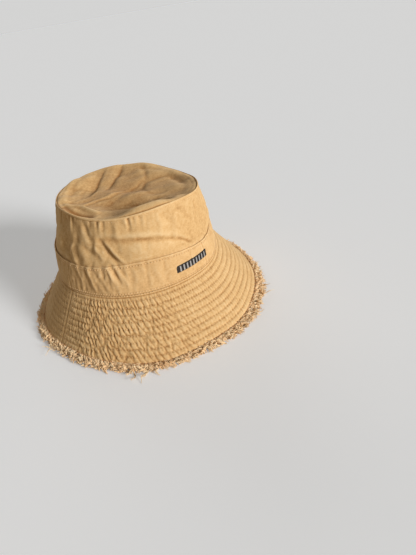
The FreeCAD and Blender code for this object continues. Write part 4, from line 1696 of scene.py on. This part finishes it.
def yarn_piece(name, points, radii, tones):
    """One mesh of round yarns, from one curve with a spline for each, with painted shade near the
    rim.
    """
    curve = bpy.data.curves.new(name, "CURVE")
    curve.dimensions = "3D"
    curve.bevel_depth, curve.bevel_resolution = 1.0 * MM, 0
    places = np.concatenate([points * MM, np.ones((*points.shape[:2], 1))], -1)
    taper = np.linspace(THICK_ROOT, THIN_TIP, len(STEPS))
    for line, radius in zip(places, radii):
        spline = curve.splines.new("POLY")
        spline.points.add(len(line) - 1)
        spline.points.foreach_set("co", line.ravel())
        spline.points.foreach_set("radius", taper * radius)
    piece = bpy.data.objects.new(name, curve)
    bpy.context.scene.collection.objects.link(piece)
    alone(piece)
    bpy.ops.object.convert(target="MESH")
    piece = bpy.context.object
    round_yarn = len(piece.data.vertices) // (len(points) * len(STEPS))
    enter(piece)
    bpy.ops.mesh.select_all(action="SELECT")
    bpy.ops.mesh.fill_holes(sides=round_yarn)
    leave()
    run = np.linalg.norm(np.diff(points, axis=1, prepend=points[:, :1]), axis=2).cumsum(1)
    run = np.repeat(run.ravel(), round_yarn)
    # The first few mm of each yarn from the rim are painted darker, as painted shade, and the rest
    # carries its tone.
    shade = np.clip((run - 1.9) / 1.6, 0, 1)
    keep(piece, "worn", -1.8 + 2.2 * shade + np.repeat(tones, len(STEPS) * round_yarn))
    flat = np.stack([run, np.arange(len(run)) % round_yarn * 0.5], -1)
    write_uv(piece, flat[face_corners(piece)])
    return piece


print("a yarn's root is", round(THICK_ROOT / THIN_TIP, 2), "times as thick as its tip")

# %% Lay the fringes
for layer, depth, seed in (("upper", UPPER_DEPTH, 51), ("under", LOWER_DEPTH, 61)):
    for part, low, high in (("front", -90, 90), ("back", 90, 270)):
        fringe = yarn_piece(f"{layer}_fray_{part}_yarns",
                            *fringe_yarns(seed + (part == "back"), depth, low, high))
        dress(fringe, yarn_paint, "frayed_yarn", f"{layer}_fray_{part}")
        print(fringe.name, "faces:", len(fringe.data.polygons))

# %% [markdown]
# ## The badge
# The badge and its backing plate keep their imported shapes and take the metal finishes.

# %% Put the metal on the badge
RIB_HIGH = 0.7
bar_front = -badge_low[1] - RIB_HIGH
badge_metal = metal_finish("gunmetal", colour(0.045, 0.038, 0.034), colour(0.52, 0.50, 0.48),
                           bar_front + 0.15, 0.45, 0.6)
plate_metal = metal_finish("steel_plate", colour(0.35, 0.35, 0.36), colour(0.62, 0.62, 0.63),
                           90, 5, 0.4)
for node, metal in (("badge", badge_metal), ("badge_backing", plate_metal)):
    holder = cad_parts[node]
    holder.data.materials.clear()
    holder.data.materials.append(metal)

# %% [markdown]
# ## The size
# The boxes of the imported solids and of the dressed hat are both printed. The dressed hat
# has to stay as large as the imported one.

# %% Write the boxes
hat_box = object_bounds()
for which, box in (("solids", cad_box), ("dressed hat", hat_box)):
    print(which, [[round(x / MM, 1) for x in corner] for corner in box], "mm")
